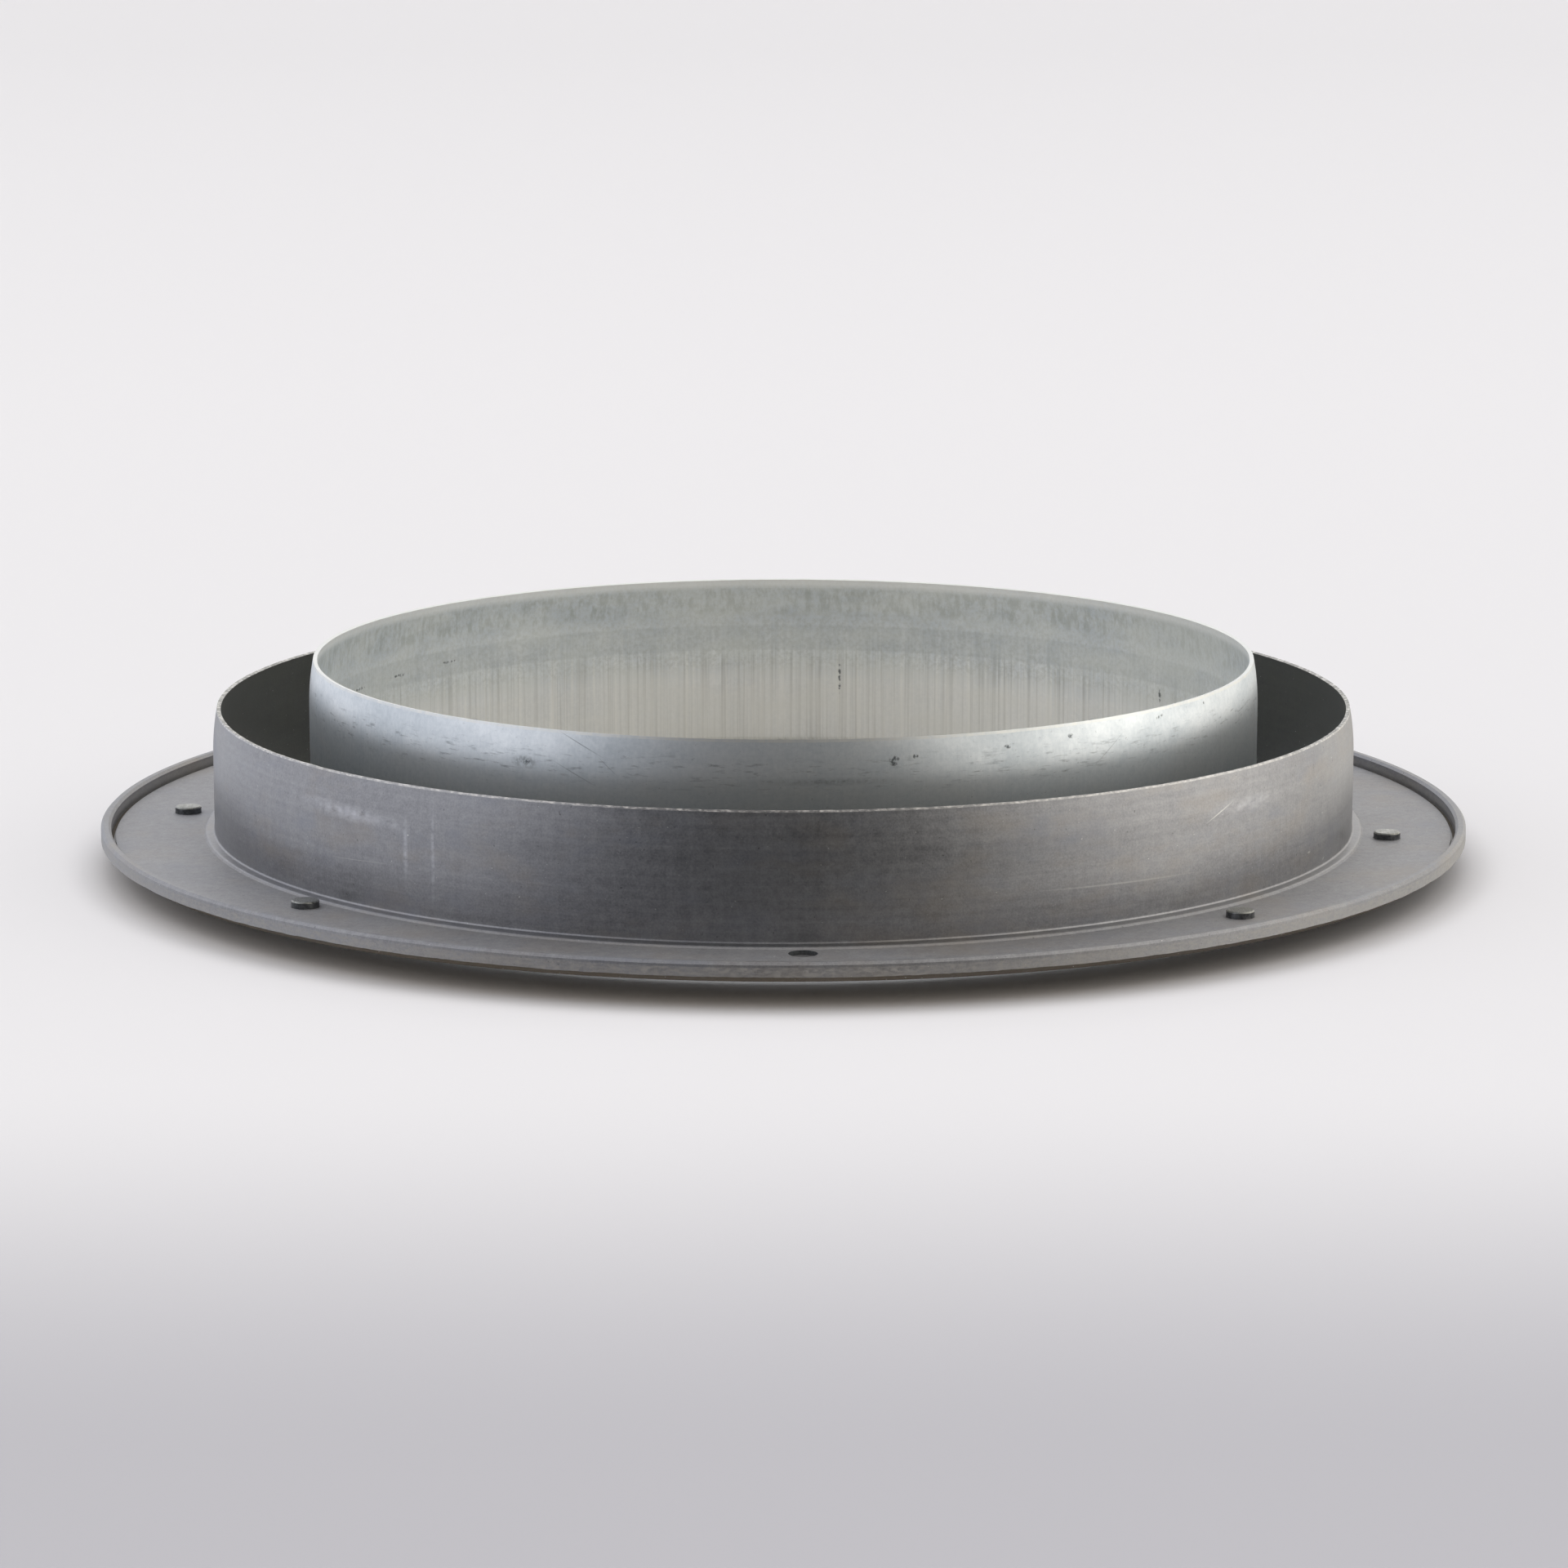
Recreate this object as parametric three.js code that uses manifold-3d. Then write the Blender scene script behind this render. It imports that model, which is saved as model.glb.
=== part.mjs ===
// Round ceiling air diffuser with a 250 mm duct collar, a core ring and an adjustable face disc.
// Units are millimetres, +Z points up into the duct, and z = 0 is the room side of the face disc.
import * as THREE from 'three';
import { mergeVertices } from 'three/addons/utils/BufferGeometryUtils.js';
import Module from 'manifold-3d';

const wasm = await Module();
wasm.setup();

// driving sizes
const ringSegments = 48;
const holeSegments = 20;
const sheet = 0.9;
const runningGap = 0.3;
const fitGap = 0.05;

// trim ring with its hemmed rim
const rimRadius = 150;
const rimTop = 9.5;
const rimHeight = 4.4;
const hemWidth = 2.2;
const hemDrop = 2.2;
const trimInnerRadius = 127.2;
const trimFloor = rimTop - rimHeight;

// collar plate: the flange that lies in the trim ring, and the duct collar drawn up from it
const plateRadius = 146.8;
const plateTop = rimTop - 2.6;
const collarRadius = 125.3;
const collarTop = 34.4;
const footRadius = 126.8;
const footRise = 0.6;
const mouthCurl = 1.0;
const mouthCurlHeight = 10;

// core ring inside the collar
const coreRadius = 104.2;
const coreTop = 44.6;
const coreFlangeRadius = 114;
const coreFlangeBottom = 4.7;

// studs through collar plate and trim ring as [degrees, radius], and one empty hole in the plate alone
const studRadius = 2.9;
const studTop = plateTop + 1.5;
const studPlaces = [[351.5, 133], [38, 132.5], [84, 132.5], [130, 132.5], [176.5, 133], [222, 132], [313.6, 134.8]];
const openHolePlace = [271.7, 131];

// spacers between the collar and the core ring
const spacerAngles = [45, 135, 225, 315];
const spacerWidth = 12;
const spacerSheet = 1;
const spacerFloor = 8;
const spacerTop = 16.5;
const spacerRivetHeight = 12.5;

// bridge across the core ring
const bridgeWidth = 20;
const bridgeSheet = 1.2;
const bridgeFloor = 7;
const bridgeLip = 5;
const bridgeHalfLength = 102;
const bridgeTabTop = 20;
const bridgeRivetHeight = 15.5;
const bridgeRivetOffset = 5;
const guideOffset = 45;

// face disc and the screw that raises and lowers it
const discRadius = 116;
const discLip = 3.2;
const plateauRise = 3;
const plateauRadius = 14;
const screwRadius = 4;
const screwHeadRadius = 7;
const screwTop = 24;
const clipSeat = 5.2;
const clipThickness = 0.7;
const pinRadius = 2.5;
const pinTop = 20.5;

const rivetRadius = 2;

const bareSteel = { color: 0x86868a, roughness: 0.45, metalness: 1 };
const galvanised = { color: 0xa9b0b0, roughness: 0.4, metalness: 1 };
const zincPlated = { color: 0xc2c4c2, roughness: 0.3, metalness: 1 };
const nylon = { color: 0xe6e2d6, roughness: 0.55, metalness: 0 };

const diffuser = new THREE.Group();

function addMesh(name, geometry, look) {
  const mesh = new THREE.Mesh(geometry, new THREE.MeshStandardMaterial(look));
  mesh.name = name;
  diffuser.add(mesh);
  return mesh;
}

function signedArea(points) {
  return points.reduce((sum, [r, z], i) => {
    const [nextR, nextZ] = points[(i + 1) % points.length];
    return sum + (r * nextZ - nextR * z) / 2;
  }, 0);
}

// A closed outline of [radius, height] points, turned about Z.
function turned(outline, segments = ringSegments) {
  const points = signedArea(outline) > 0 ? [...outline] : [...outline].reverse();
  points.push(points[0]);
  const geometry = new THREE.LatheGeometry(points.map(([r, z]) => new THREE.Vector2(r, z)), segments);
  return geometry.rotateX(Math.PI / 2);
}

// A flat outline in X and Y, raised along Z from zero.
function raised(outline, height, holes = []) {
  const shape = new THREE.Shape(outline.map(([x, y]) => new THREE.Vector2(x, y)));
  shape.holes = holes.map((hole) => new THREE.Path(hole.map(([x, y]) => new THREE.Vector2(x, y))));
  return new THREE.ExtrudeGeometry(shape, { depth: height, bevelEnabled: false });
}

function circlePoints(radius, segments = holeSegments, from = 0, to = 2 * Math.PI) {
  const closed = to - from >= 2 * Math.PI;
  const count = closed ? segments : segments + 1;
  return Array.from({ length: count }, (_, i) => {
    const angle = from + (to - from) * i / segments;
    return [radius * Math.cos(angle), radius * Math.sin(angle)];
  });
}

function toSolid(geometry) {
  const plain = geometry.clone();
  plain.deleteAttribute('normal');
  plain.deleteAttribute('uv');
  const merged = mergeVertices(plain, 1e-4);
  return new wasm.Manifold(new wasm.Mesh({
    numProp: 3,
    vertProperties: new Float32Array(merged.attributes.position.array),
    triVerts: new Uint32Array(merged.index.array),
  }));
}

function toGeometry(solid) {
  const { vertProperties, triVerts } = solid.getMesh();
  const geometry = new THREE.BufferGeometry();
  geometry.setAttribute('position', new THREE.BufferAttribute(vertProperties, 3));
  geometry.setIndex(new THREE.BufferAttribute(triVerts, 1));
  geometry.computeVertexNormals();
  return geometry;
}

function cut(geometry, tools) {
  const solid = tools.reduce((body, tool) => body.subtract(toSolid(tool)), toSolid(geometry));
  return toGeometry(solid);
}

function polar([degrees, radius], height = 0) {
  const angle = THREE.MathUtils.degToRad(degrees);
  return [radius * Math.cos(angle), radius * Math.sin(angle), height];
}

function uprightRod(radius, low, high, x = 0, y = 0) {
  return raised(circlePoints(radius), high - low).translate(x, y, low);
}

// A rod along X, turned about Z to point outwards at the given angle.
function radialRod(radius, from, to, degrees, offset, height) {
  return raised(circlePoints(radius), to - from)
    .rotateY(Math.PI / 2)
    .translate(from, offset, height)
    .rotateZ(THREE.MathUtils.degToRad(degrees));
}

// Heights and radii of a drawn wall whose mouth pulls in a little over its top.
function curledWall(radius, foot, top, steps = 3) {
  const start = top - mouthCurlHeight;
  const curl = Array.from({ length: steps + 1 }, (_, i) => {
    const part = i / steps;
    return [radius - mouthCurl * part * part, start + part * mouthCurlHeight];
  });
  return [[radius, foot], ...curl];
}

function studHoles(places) {
  return places.map((place) => {
    const [x, y] = polar(place);
    return uprightRod(studRadius + fitGap, trimFloor - 1, rimTop, x, y);
  });
}

function trimRing() {
  const legRadius = rimRadius - 1.4;
  const hemInner = rimRadius - hemWidth;
  const outline = [
    [trimInnerRadius, trimFloor],
    [legRadius - 1.1, trimFloor],
    [legRadius - 0.3, trimFloor + 0.4],
    [legRadius, rimTop - hemDrop],
    [rimRadius, rimTop - hemDrop],
    [rimRadius, rimTop - 0.6],
    [rimRadius - 0.6, rimTop],
    [hemInner + 0.6, rimTop],
    [hemInner, rimTop - 0.6],
    [hemInner, trimFloor + sheet],
    [trimInnerRadius, trimFloor + sheet],
  ];
  addMesh('trim_ring', cut(turned(outline), studHoles(studPlaces)), bareSteel);
}

function collarPlate() {
  const underside = trimFloor + sheet + fitGap;
  const wallFoot = plateTop + 1.9;
  const outside = [
    [plateRadius, plateTop],
    [footRadius + 0.1, plateTop],
    [footRadius - 0.1, plateTop + footRise],
    [collarRadius + 0.3, plateTop + 0.8],
    ...curledWall(collarRadius, wallFoot, collarTop),
  ];
  const inside = curledWall(collarRadius - sheet, wallFoot, collarTop).reverse();
  const throat = [
    [collarRadius - sheet + 0.3, underside + 1.2],
    [footRadius + 0.5, underside],
    [plateRadius, underside],
  ];
  const holes = studHoles([...studPlaces, openHolePlace]);
  addMesh('collar_plate', cut(turned([...outside, ...inside, ...throat]), holes), bareSteel);
}

function coreRing() {
  const flangeTop = coreFlangeBottom + sheet;
  const outline = [
    [coreFlangeRadius, flangeTop],
    [coreRadius + 0.6, flangeTop],
    ...curledWall(coreRadius, flangeTop + 0.6, coreTop),
    ...curledWall(coreRadius - sheet, flangeTop + 0.6, coreTop).reverse(),
    [coreRadius - sheet + 0.5, coreFlangeBottom + 0.4],
    [coreRadius + 0.6, coreFlangeBottom],
    [coreFlangeRadius, coreFlangeBottom],
  ];
  const hole = rivetRadius + fitGap;
  const spacerHoles = spacerAngles.map((degrees) => radialRod(hole, 95, 110, degrees, 0, spacerRivetHeight));
  const bridgeHoles = [0, 180].flatMap((degrees) => [-1, 1].map((side) => (
    radialRod(hole, 95, 110, degrees, side * bridgeRivetOffset, bridgeRivetHeight)
  )));
  addMesh('core_ring', cut(turned(outline), [...spacerHoles, ...bridgeHoles]), galvanised);
}

function flangeStuds() {
  const foot = trimFloor + fitGap;
  const outline = [
    [0, foot],
    [studRadius, foot],
    [studRadius, studTop - 0.25],
    [studRadius - 0.25, studTop],
    [0, studTop],
  ];
  studPlaces.forEach((place, i) => {
    const [x, y] = polar(place);
    addMesh(`flange_stud_${i + 1}`, turned(outline, holeSegments), zincPlated).position.set(x, y, 0);
  });
}

// A blind rivet along X: domed head inside, shank, and the formed end outside.
function rivetGeometry(headFace, tailFace) {
  const outline = [
    [0, headFace - 1],
    [1.8, headFace - 0.9],
    [3.4, headFace - 0.3],
    [3.4, headFace],
    [rivetRadius, headFace],
    [rivetRadius, tailFace],
    [2.8, tailFace],
    [2.8, tailFace + 0.8],
    [1.6, tailFace + 1.5],
    [0, tailFace + 1.5],
  ];
  return turned(outline, 10).rotateY(Math.PI / 2);
}

function spacers() {
  const inner = coreRadius + 0.4;
  const outer = collarRadius - sheet - 0.6;
  const outline = [
    [inner, spacerTop],
    [inner, spacerFloor + 0.7],
    [inner + 0.7, spacerFloor],
    [outer - 0.7, spacerFloor],
    [outer, spacerFloor + 0.7],
    [outer, spacerTop],
    [outer - spacerSheet, spacerTop],
    [outer - spacerSheet, spacerFloor + spacerSheet],
    [inner + spacerSheet, spacerFloor + spacerSheet],
    [inner + spacerSheet, spacerTop],
  ];
  const strap = raised(outline, spacerWidth).translate(0, 0, -spacerWidth / 2).rotateX(Math.PI / 2);
  const hole = radialRod(rivetRadius + fitGap, inner - 1, inner + spacerSheet + 1, 0, 0, spacerRivetHeight);
  const drilled = cut(strap, [hole]);
  const rivet = rivetGeometry(coreRadius - sheet - 0.2, inner + spacerSheet + fitGap);
  spacerAngles.forEach((degrees, i) => {
    const turn = THREE.MathUtils.degToRad(degrees);
    addMesh(`spacer_bracket_${i + 1}`, drilled.clone(), galvanised).rotation.z = turn;
    const holder = addMesh(`spacer_rivet_${i + 1}`, rivet.clone(), zincPlated);
    holder.rotation.z = turn;
    const [x, y, z] = polar([degrees, 0], spacerRivetHeight);
    holder.position.set(x, y, z);
  });
}

function bridge() {
  const half = bridgeWidth / 2;
  const lipTop = bridgeFloor + bridgeLip;
  const channel = [
    [-half, bridgeFloor],
    [half, bridgeFloor],
    [half, lipTop],
    [half - bridgeSheet, lipTop],
    [half - bridgeSheet, bridgeFloor + bridgeSheet],
    [-half + bridgeSheet, bridgeFloor + bridgeSheet],
    [-half + bridgeSheet, lipTop],
    [-half, lipTop],
  ];
  const length = 2 * bridgeHalfLength;
  // the outline's X becomes Y and its Y becomes Z, and the run becomes X
  const strap = raised(channel, length)
    .applyMatrix4(new THREE.Matrix4().makeBasis(
      new THREE.Vector3(0, 1, 0), new THREE.Vector3(0, 0, 1), new THREE.Vector3(1, 0, 0)))
    .translate(-bridgeHalfLength, 0, 0);
  const tab = new THREE.BoxGeometry(bridgeSheet, bridgeWidth - 3, bridgeTabTop - bridgeFloor)
    .translate(bridgeHalfLength - bridgeSheet / 2, 0, (bridgeTabTop + bridgeFloor) / 2);
  const farTab = tab.clone().rotateZ(Math.PI);
  const body = toSolid(strap).add(toSolid(tab)).add(toSolid(farTab));
  const holes = [
    uprightRod(screwRadius + runningGap, bridgeFloor - 1, lipTop),
    ...[-1, 1].map((side) => uprightRod(4.1, bridgeFloor - 1, lipTop, side * guideOffset)),
    ...[0, 180].flatMap((degrees) => [-1, 1].map((side) => (
      radialRod(rivetRadius + fitGap, 90, 110, degrees, side * bridgeRivetOffset, bridgeRivetHeight)
    ))),
  ];
  const drilled = holes.reduce((solid, hole) => solid.subtract(toSolid(hole)), body);
  addMesh('bridge', toGeometry(drilled), galvanised);
}

function bridgeRivets() {
  const rivet = rivetGeometry(bridgeHalfLength - bridgeSheet - fitGap, coreRadius + fitGap);
  const sides = { right: 0, left: 180 };
  Object.entries(sides).forEach(([side, degrees]) => {
    [-1, 1].forEach((end, i) => {
      const turn = THREE.MathUtils.degToRad(degrees);
      const mesh = addMesh(`bridge_rivet_${side}_${i + 1}`, rivet.clone(), zincPlated);
      mesh.rotation.z = turn;
      mesh.position.set(0, end * bridgeRivetOffset * Math.cos(turn), bridgeRivetHeight);
    });
  });
}

function bridgeNut() {
  const acrossFlats = 13;
  const nutFloor = bridgeFloor + bridgeSheet + fitGap;
  const hexagon = circlePoints(acrossFlats / Math.sqrt(3), 6);
  const bore = circlePoints(screwRadius + 0.1).reverse();
  addMesh('bridge_nut', raised(hexagon, 5, [bore]).translate(0, 0, nutFloor), zincPlated);
}

function guideBushes() {
  const seat = bridgeFloor + bridgeSheet + fitGap;
  const outline = [
    [pinRadius + 0.12, bridgeFloor - 0.4],
    [4, bridgeFloor - 0.4],
    [4, seat],
    [5.6, seat],
    [5.6, seat + 1],
    [4, seat + 3],
    [pinRadius + 0.12, seat + 3],
  ];
  ['left', 'right'].forEach((side, i) => {
    addMesh(`guide_bush_${side}`, turned(outline, holeSegments), nylon).position.x = (2 * i - 1) * guideOffset;
  });
}

function guidePins() {
  const seat = sheet + fitGap;
  const outline = [
    [0, seat],
    [4.5, seat],
    [4.5, seat + 0.8],
    [pinRadius, seat + 0.8],
    [pinRadius, pinTop - 0.8],
    [pinRadius - 0.8, pinTop],
    [0, pinTop],
  ];
  ['left', 'right'].forEach((side, i) => {
    addMesh(`guide_pin_${side}`, turned(outline, holeSegments), zincPlated).position.x = (2 * i - 1) * guideOffset;
  });
}

// Room side of the disc from hub to lip: plateau, slope, flat, stiffening bead, flat, turned-up lip.
function faceDisc() {
  const slopeFoot = plateauRadius + 4;
  const under = [
    [screwRadius + runningGap, plateauRise],
    [plateauRadius, plateauRise],
    [slopeFoot, 0],
    [90, 0],
    [92, 1],
    [96, 1],
    [98, 0],
    [discRadius - 1.6, 0],
    [discRadius - 0.5, 0.5],
    [discRadius, 1.6],
    [discRadius, discLip],
  ];
  const above = [
    [discRadius - sheet, discLip],
    [discRadius - sheet, 1.7],
    [discRadius - 1.7, sheet],
    [98.3, sheet],
    [96.3, 1 + sheet],
    [91.7, 1 + sheet],
    [89.7, sheet],
    [slopeFoot + 0.3, sheet],
    [plateauRadius + 0.3, plateauRise + sheet],
    [screwRadius + runningGap, plateauRise + sheet],
  ];
  addMesh('face_disc', turned([...under, ...above]), galvanised);
}

function centreScrew() {
  const headTop = plateauRise - runningGap;
  const headBottom = 0.5;
  const grooveTop = clipSeat + clipThickness + fitGap;
  const grooveBottom = clipSeat - fitGap;
  const outline = [
    [0, headBottom],
    [screwHeadRadius - 1, headBottom],
    [screwHeadRadius, headBottom + 0.8],
    [screwHeadRadius, headTop],
    [screwRadius, headTop],
    [screwRadius, grooveBottom],
    [3.3, grooveBottom],
    [3.3, grooveTop],
    [screwRadius, grooveTop],
    [screwRadius, screwTop - 0.8],
    [screwRadius - 0.8, screwTop],
    [0, screwTop],
  ];
  const slot = new THREE.BoxGeometry(2 * screwHeadRadius + 2, 1.6, 1.2).translate(0, 0, headBottom + 0.5);
  addMesh('centre_screw', cut(turned(outline, holeSegments), [slot]), zincPlated);
}

function screwWasher() {
  const seat = plateauRise + sheet + fitGap;
  const outer = circlePoints(8);
  const inner = circlePoints(screwRadius + runningGap).reverse();
  addMesh('screw_washer', raised(outer, 1, [inner]).translate(0, 0, seat), zincPlated);
}

function retainingClip() {
  const gap = THREE.MathUtils.degToRad(35);
  const outer = circlePoints(7, 20, gap, 2 * Math.PI - gap);
  const inner = circlePoints(3.45, 20, gap, 2 * Math.PI - gap).reverse();
  addMesh('retaining_clip', raised([...outer, ...inner], clipThickness).translate(0, 0, clipSeat), zincPlated);
}

trimRing();
collarPlate();
flangeStuds();
coreRing();
spacers();
bridge();
bridgeRivets();
bridgeNut();
guideBushes();
faceDisc();
guidePins();
screwWasher();
centreScrew();
retainingClip();

export default diffuser;
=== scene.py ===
import math
import random

import bmesh
import bpy
from mathutils import Matrix, Vector


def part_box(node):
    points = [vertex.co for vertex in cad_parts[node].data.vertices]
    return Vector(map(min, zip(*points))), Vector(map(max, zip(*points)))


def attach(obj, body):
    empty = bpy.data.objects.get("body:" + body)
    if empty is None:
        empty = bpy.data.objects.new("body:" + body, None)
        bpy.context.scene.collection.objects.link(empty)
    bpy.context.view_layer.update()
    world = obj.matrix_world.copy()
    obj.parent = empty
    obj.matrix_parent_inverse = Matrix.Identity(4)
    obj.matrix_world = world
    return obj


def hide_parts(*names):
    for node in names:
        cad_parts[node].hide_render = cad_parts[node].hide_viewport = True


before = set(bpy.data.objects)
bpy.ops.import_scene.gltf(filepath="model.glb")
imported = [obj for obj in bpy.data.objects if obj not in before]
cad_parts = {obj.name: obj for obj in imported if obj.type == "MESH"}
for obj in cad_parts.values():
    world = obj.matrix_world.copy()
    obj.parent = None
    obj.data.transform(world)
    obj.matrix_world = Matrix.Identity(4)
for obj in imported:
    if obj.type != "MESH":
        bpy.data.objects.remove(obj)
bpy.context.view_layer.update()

mm = 0.001
chance = random.Random(11)


def linear(hexColour):
    parts = [int(hexColour[i:i + 2], 16) / 255 for i in (1, 3, 5)]
    return [p / 12.92 if p <= 0.04045 else ((p + 0.055) / 1.055) ** 2.4 for p in parts] + [1.0]


# adds one node with its settings and links, and gives the socket that it feeds on
def addNode(tree, kind, links=None, out=None, **settings):
    node = tree.nodes.new("ShaderNode" + kind)
    for key, value in settings.items():
        setattr(node, key, value)
    for key, value in (links or {}).items():
        if isinstance(value, bpy.types.NodeSocket):
            tree.links.new(value, node.inputs[key])
        else:
            node.inputs[key].default_value = value
    return node.outputs[out] if out else next(o for o in node.outputs if o.enabled)


def startMaterial(name, shader):
    material = bpy.data.materials.new(name)
    material.use_nodes = True
    tree = material.node_tree
    surface = tree.nodes["Principled BSDF"]
    for key, value in shader.items():
        surface.inputs[key].default_value = value
    place = addNode(tree, "TexCoord", out="Object")
    place = addNode(tree, "VectorMath", {0: place, "Scale": 1 / mm}, operation="SCALE")  # now in mm
    return material, tree, place


# links the colour, the roughness (two levels mixed by tone) and a bump of depth mm, and gives the material
def finishMaterial(material, colour, tone, rough, relief, strength, depth=0.03):
    tree = material.node_tree
    surface = tree.nodes["Principled BSDF"]
    tree.links.new(colour, surface.inputs["Base Color"])
    rough = addNode(tree, "MapRange", {"Value": tone, "To Min": rough[0], "To Max": rough[1]})
    tree.links.new(rough, surface.inputs["Roughness"])
    bump = addNode(tree, "Bump", {"Strength": strength, "Distance": depth * mm, "Height": relief})
    tree.links.new(bump, surface.inputs["Normal"])
    return material


# noise whose grains are size mm long each way, as a value from 0 to 1 between two levels
def grain(tree, place, size, low=0.35, high=0.65, detail=3.0):
    at = addNode(tree, "Mapping", {"Vector": place, "Scale": [1 / s for s in size]})
    noise = addNode(tree, "TexNoise", {"Vector": at, "Scale": 1.0, "Detail": detail, "Roughness": 0.6},
                    out="Fac")
    return addNode(tree, "MapRange", {"Value": noise, "From Min": low, "From Max": high})


# 1 between two heights in mm, fading over soft mm outside them
def heightBand(tree, place, low, high, soft):
    z = addNode(tree, "SeparateXYZ", {0: place}, out="Z")
    rise = addNode(tree, "MapRange", {"Value": z, "From Min": low - soft, "From Max": low})
    fall = addNode(tree, "MapRange", {"Value": z, "From Min": high + soft, "From Max": high})
    return addNode(tree, "Math", {0: rise, 1: fall}, operation="MULTIPLY")


# small marks on a round wall: degrees round the axis, height, length, width, lean in degrees, strength
def wallMarks(tree, place, radius, marks):
    total = None
    for degrees, height, length, width, lean, strength in marks:
        turn = math.radians(degrees)
        tilt = Matrix.Rotation(turn, 3, "Z") @ Matrix.Rotation(math.radians(lean), 3, "X")
        spot = addNode(tree, "Mapping", {
            "Vector": place,
            "Location": (radius * math.cos(turn), radius * math.sin(turn), height),
            "Rotation": tilt.to_euler(),
            "Scale": (4, length / 2, width / 2),
        }, vector_type="TEXTURE")
        glow = addNode(tree, "TexGradient", {"Vector": spot}, out="Fac", gradient_type="SPHERICAL")
        glow = addNode(tree, "Math", {0: glow, 1: strength}, operation="MULTIPLY", use_clamp=True)
        total = glow if total is None else addNode(tree, "Math", {0: total, 1: glow}, operation="MAXIMUM")
    return total


# Cold-rolled mild steel sheet, drawn over a die and left bare: dull, dark where it faces the room,
# milky where it is seen at a slant, with level draw bands, upright rub streaks and a fine grain.
coldRolledLook = {
    "dark": "#76767A", "light": "#ACACAE", "warm": "#A0978C", "cool": "#7E8390", "burr": "#ECEAE6",
    "glint": "#D8D8D6", "speck": "#4A4A4C", "smear": "#C9C9CE", "scratch": "#D8D7D4",
    "metallic": 1.0,
    "tornMetallic": 0.35,       # torn metal scatters light like a matt surface
    "roughness": (0.36, 0.50),
    "grainSize": 0.45,          # mm, a real rolled grain is near 0.05, drawn coarse enough to show
    "bandHeight": 1.1,          # mm between draw bands on the wall
    "rubWidth": 1.6,            # mm across a rub streak
    "bump": 0.2,
}


def coldRolledSteel(name, burrHeights=None, radius=125.3, scratches=(), smears=(), changes=None):
    look = {**coldRolledLook, **(changes or {})}
    material, tree, place = startMaterial(name, {"Metallic": look["metallic"]})
    cloud = grain(tree, place, (34, 34, 16), 0.32, 0.68, 5.0)
    patch = grain(tree, place, (22, 22, 9), 0.50, 0.70, 5.0)
    haze = grain(tree, place, (17, 17, 8), 0.52, 0.74, 5.0)
    bands = grain(tree, place, (140, 140, look["bandHeight"]), 0.3, 0.7, 4.0)
    rubs = grain(tree, place, (look["rubWidth"], look["rubWidth"], 45), 0.35, 0.75, 4.0)
    fine = grain(tree, place, (look["grainSize"],) * 3, 0.3, 0.7, 2.0)
    mottle = grain(tree, place, (2.2, 2.2, 1.4), 0.32, 0.68, 4.0)
    specks = grain(tree, place, (0.8, 0.8, 0.8), 0.74, 0.80, 1.0)
    tone = addNode(tree, "Math", {0: cloud, 1: 0.30, 2: 0.0}, operation="MULTIPLY_ADD")
    for pattern, share in ((bands, 0.20), (rubs, 0.14), (fine, 0.30), (mottle, 0.22)):
        tone = addNode(tree, "Math", {0: pattern, 1: share, 2: tone}, operation="MULTIPLY_ADD")
    colour = addNode(tree, "Mix", {0: tone, 6: linear(look["dark"]), 7: linear(look["light"])},
                     data_type="RGBA")
    for pattern, stain, share in ((patch, "warm", 0.35), (haze, "cool", 0.4)):
        amount = addNode(tree, "Math", {0: pattern, 1: share}, operation="MULTIPLY")
        colour = addNode(tree, "Mix", {0: amount, 6: colour, 7: linear(look[stain])}, data_type="RGBA")
    glints = grain(tree, place, (0.7, 0.7, 0.5), 0.76, 0.84, 1.0)        # bare spots knocked bright
    colour = addNode(tree, "Mix", {0: glints, 6: colour, 7: linear(look["glint"])}, data_type="RGBA")
    dirt = addNode(tree, "Math", {0: specks, 1: 0.5}, operation="MULTIPLY")
    colour = addNode(tree, "Mix", {0: dirt, 6: colour, 7: linear(look["speck"])}, data_type="RGBA")
    if smears:
        smear = wallMarks(tree, place, radius, smears)
        smear = addNode(tree, "Math", {0: smear, 1: mottle}, operation="MULTIPLY")
        colour = addNode(tree, "Mix", {0: smear, 6: colour, 7: linear(look["smear"])}, data_type="RGBA")
    if scratches:
        lines = wallMarks(tree, place, radius, scratches)
        colour = addNode(tree, "Mix", {0: lines, 6: colour, 7: linear(look["scratch"])}, data_type="RGBA")
    if burrHeights:
        # sheared mouth: a thin pale line, broken by brighter burrs a few mm long
        edge = heightBand(tree, place, burrHeights[0], burrHeights[1], 0.1)
        dashes = grain(tree, place, (1.3, 1.3, 0.6), 0.44, 0.66, 4.0)
        dashes = addNode(tree, "MapRange", {"Value": dashes, "To Min": 0.2, "To Max": 0.85})
        edge = addNode(tree, "Math", {0: edge, 1: dashes}, operation="MULTIPLY")
        colour = addNode(tree, "Mix", {0: edge, 6: colour, 7: linear(look["burr"])}, data_type="RGBA")
        metal = addNode(tree, "MapRange", {"Value": edge, "To Min": look["metallic"],
                                           "To Max": look["tornMetallic"]})
        tree.links.new(metal, tree.nodes["Principled BSDF"].inputs["Metallic"])
    relief = addNode(tree, "Math", {0: bands, 1: 0.6, 2: fine}, operation="MULTIPLY_ADD")
    return finishMaterial(material, colour, tone, look["roughness"], relief, look["bump"])


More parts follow.
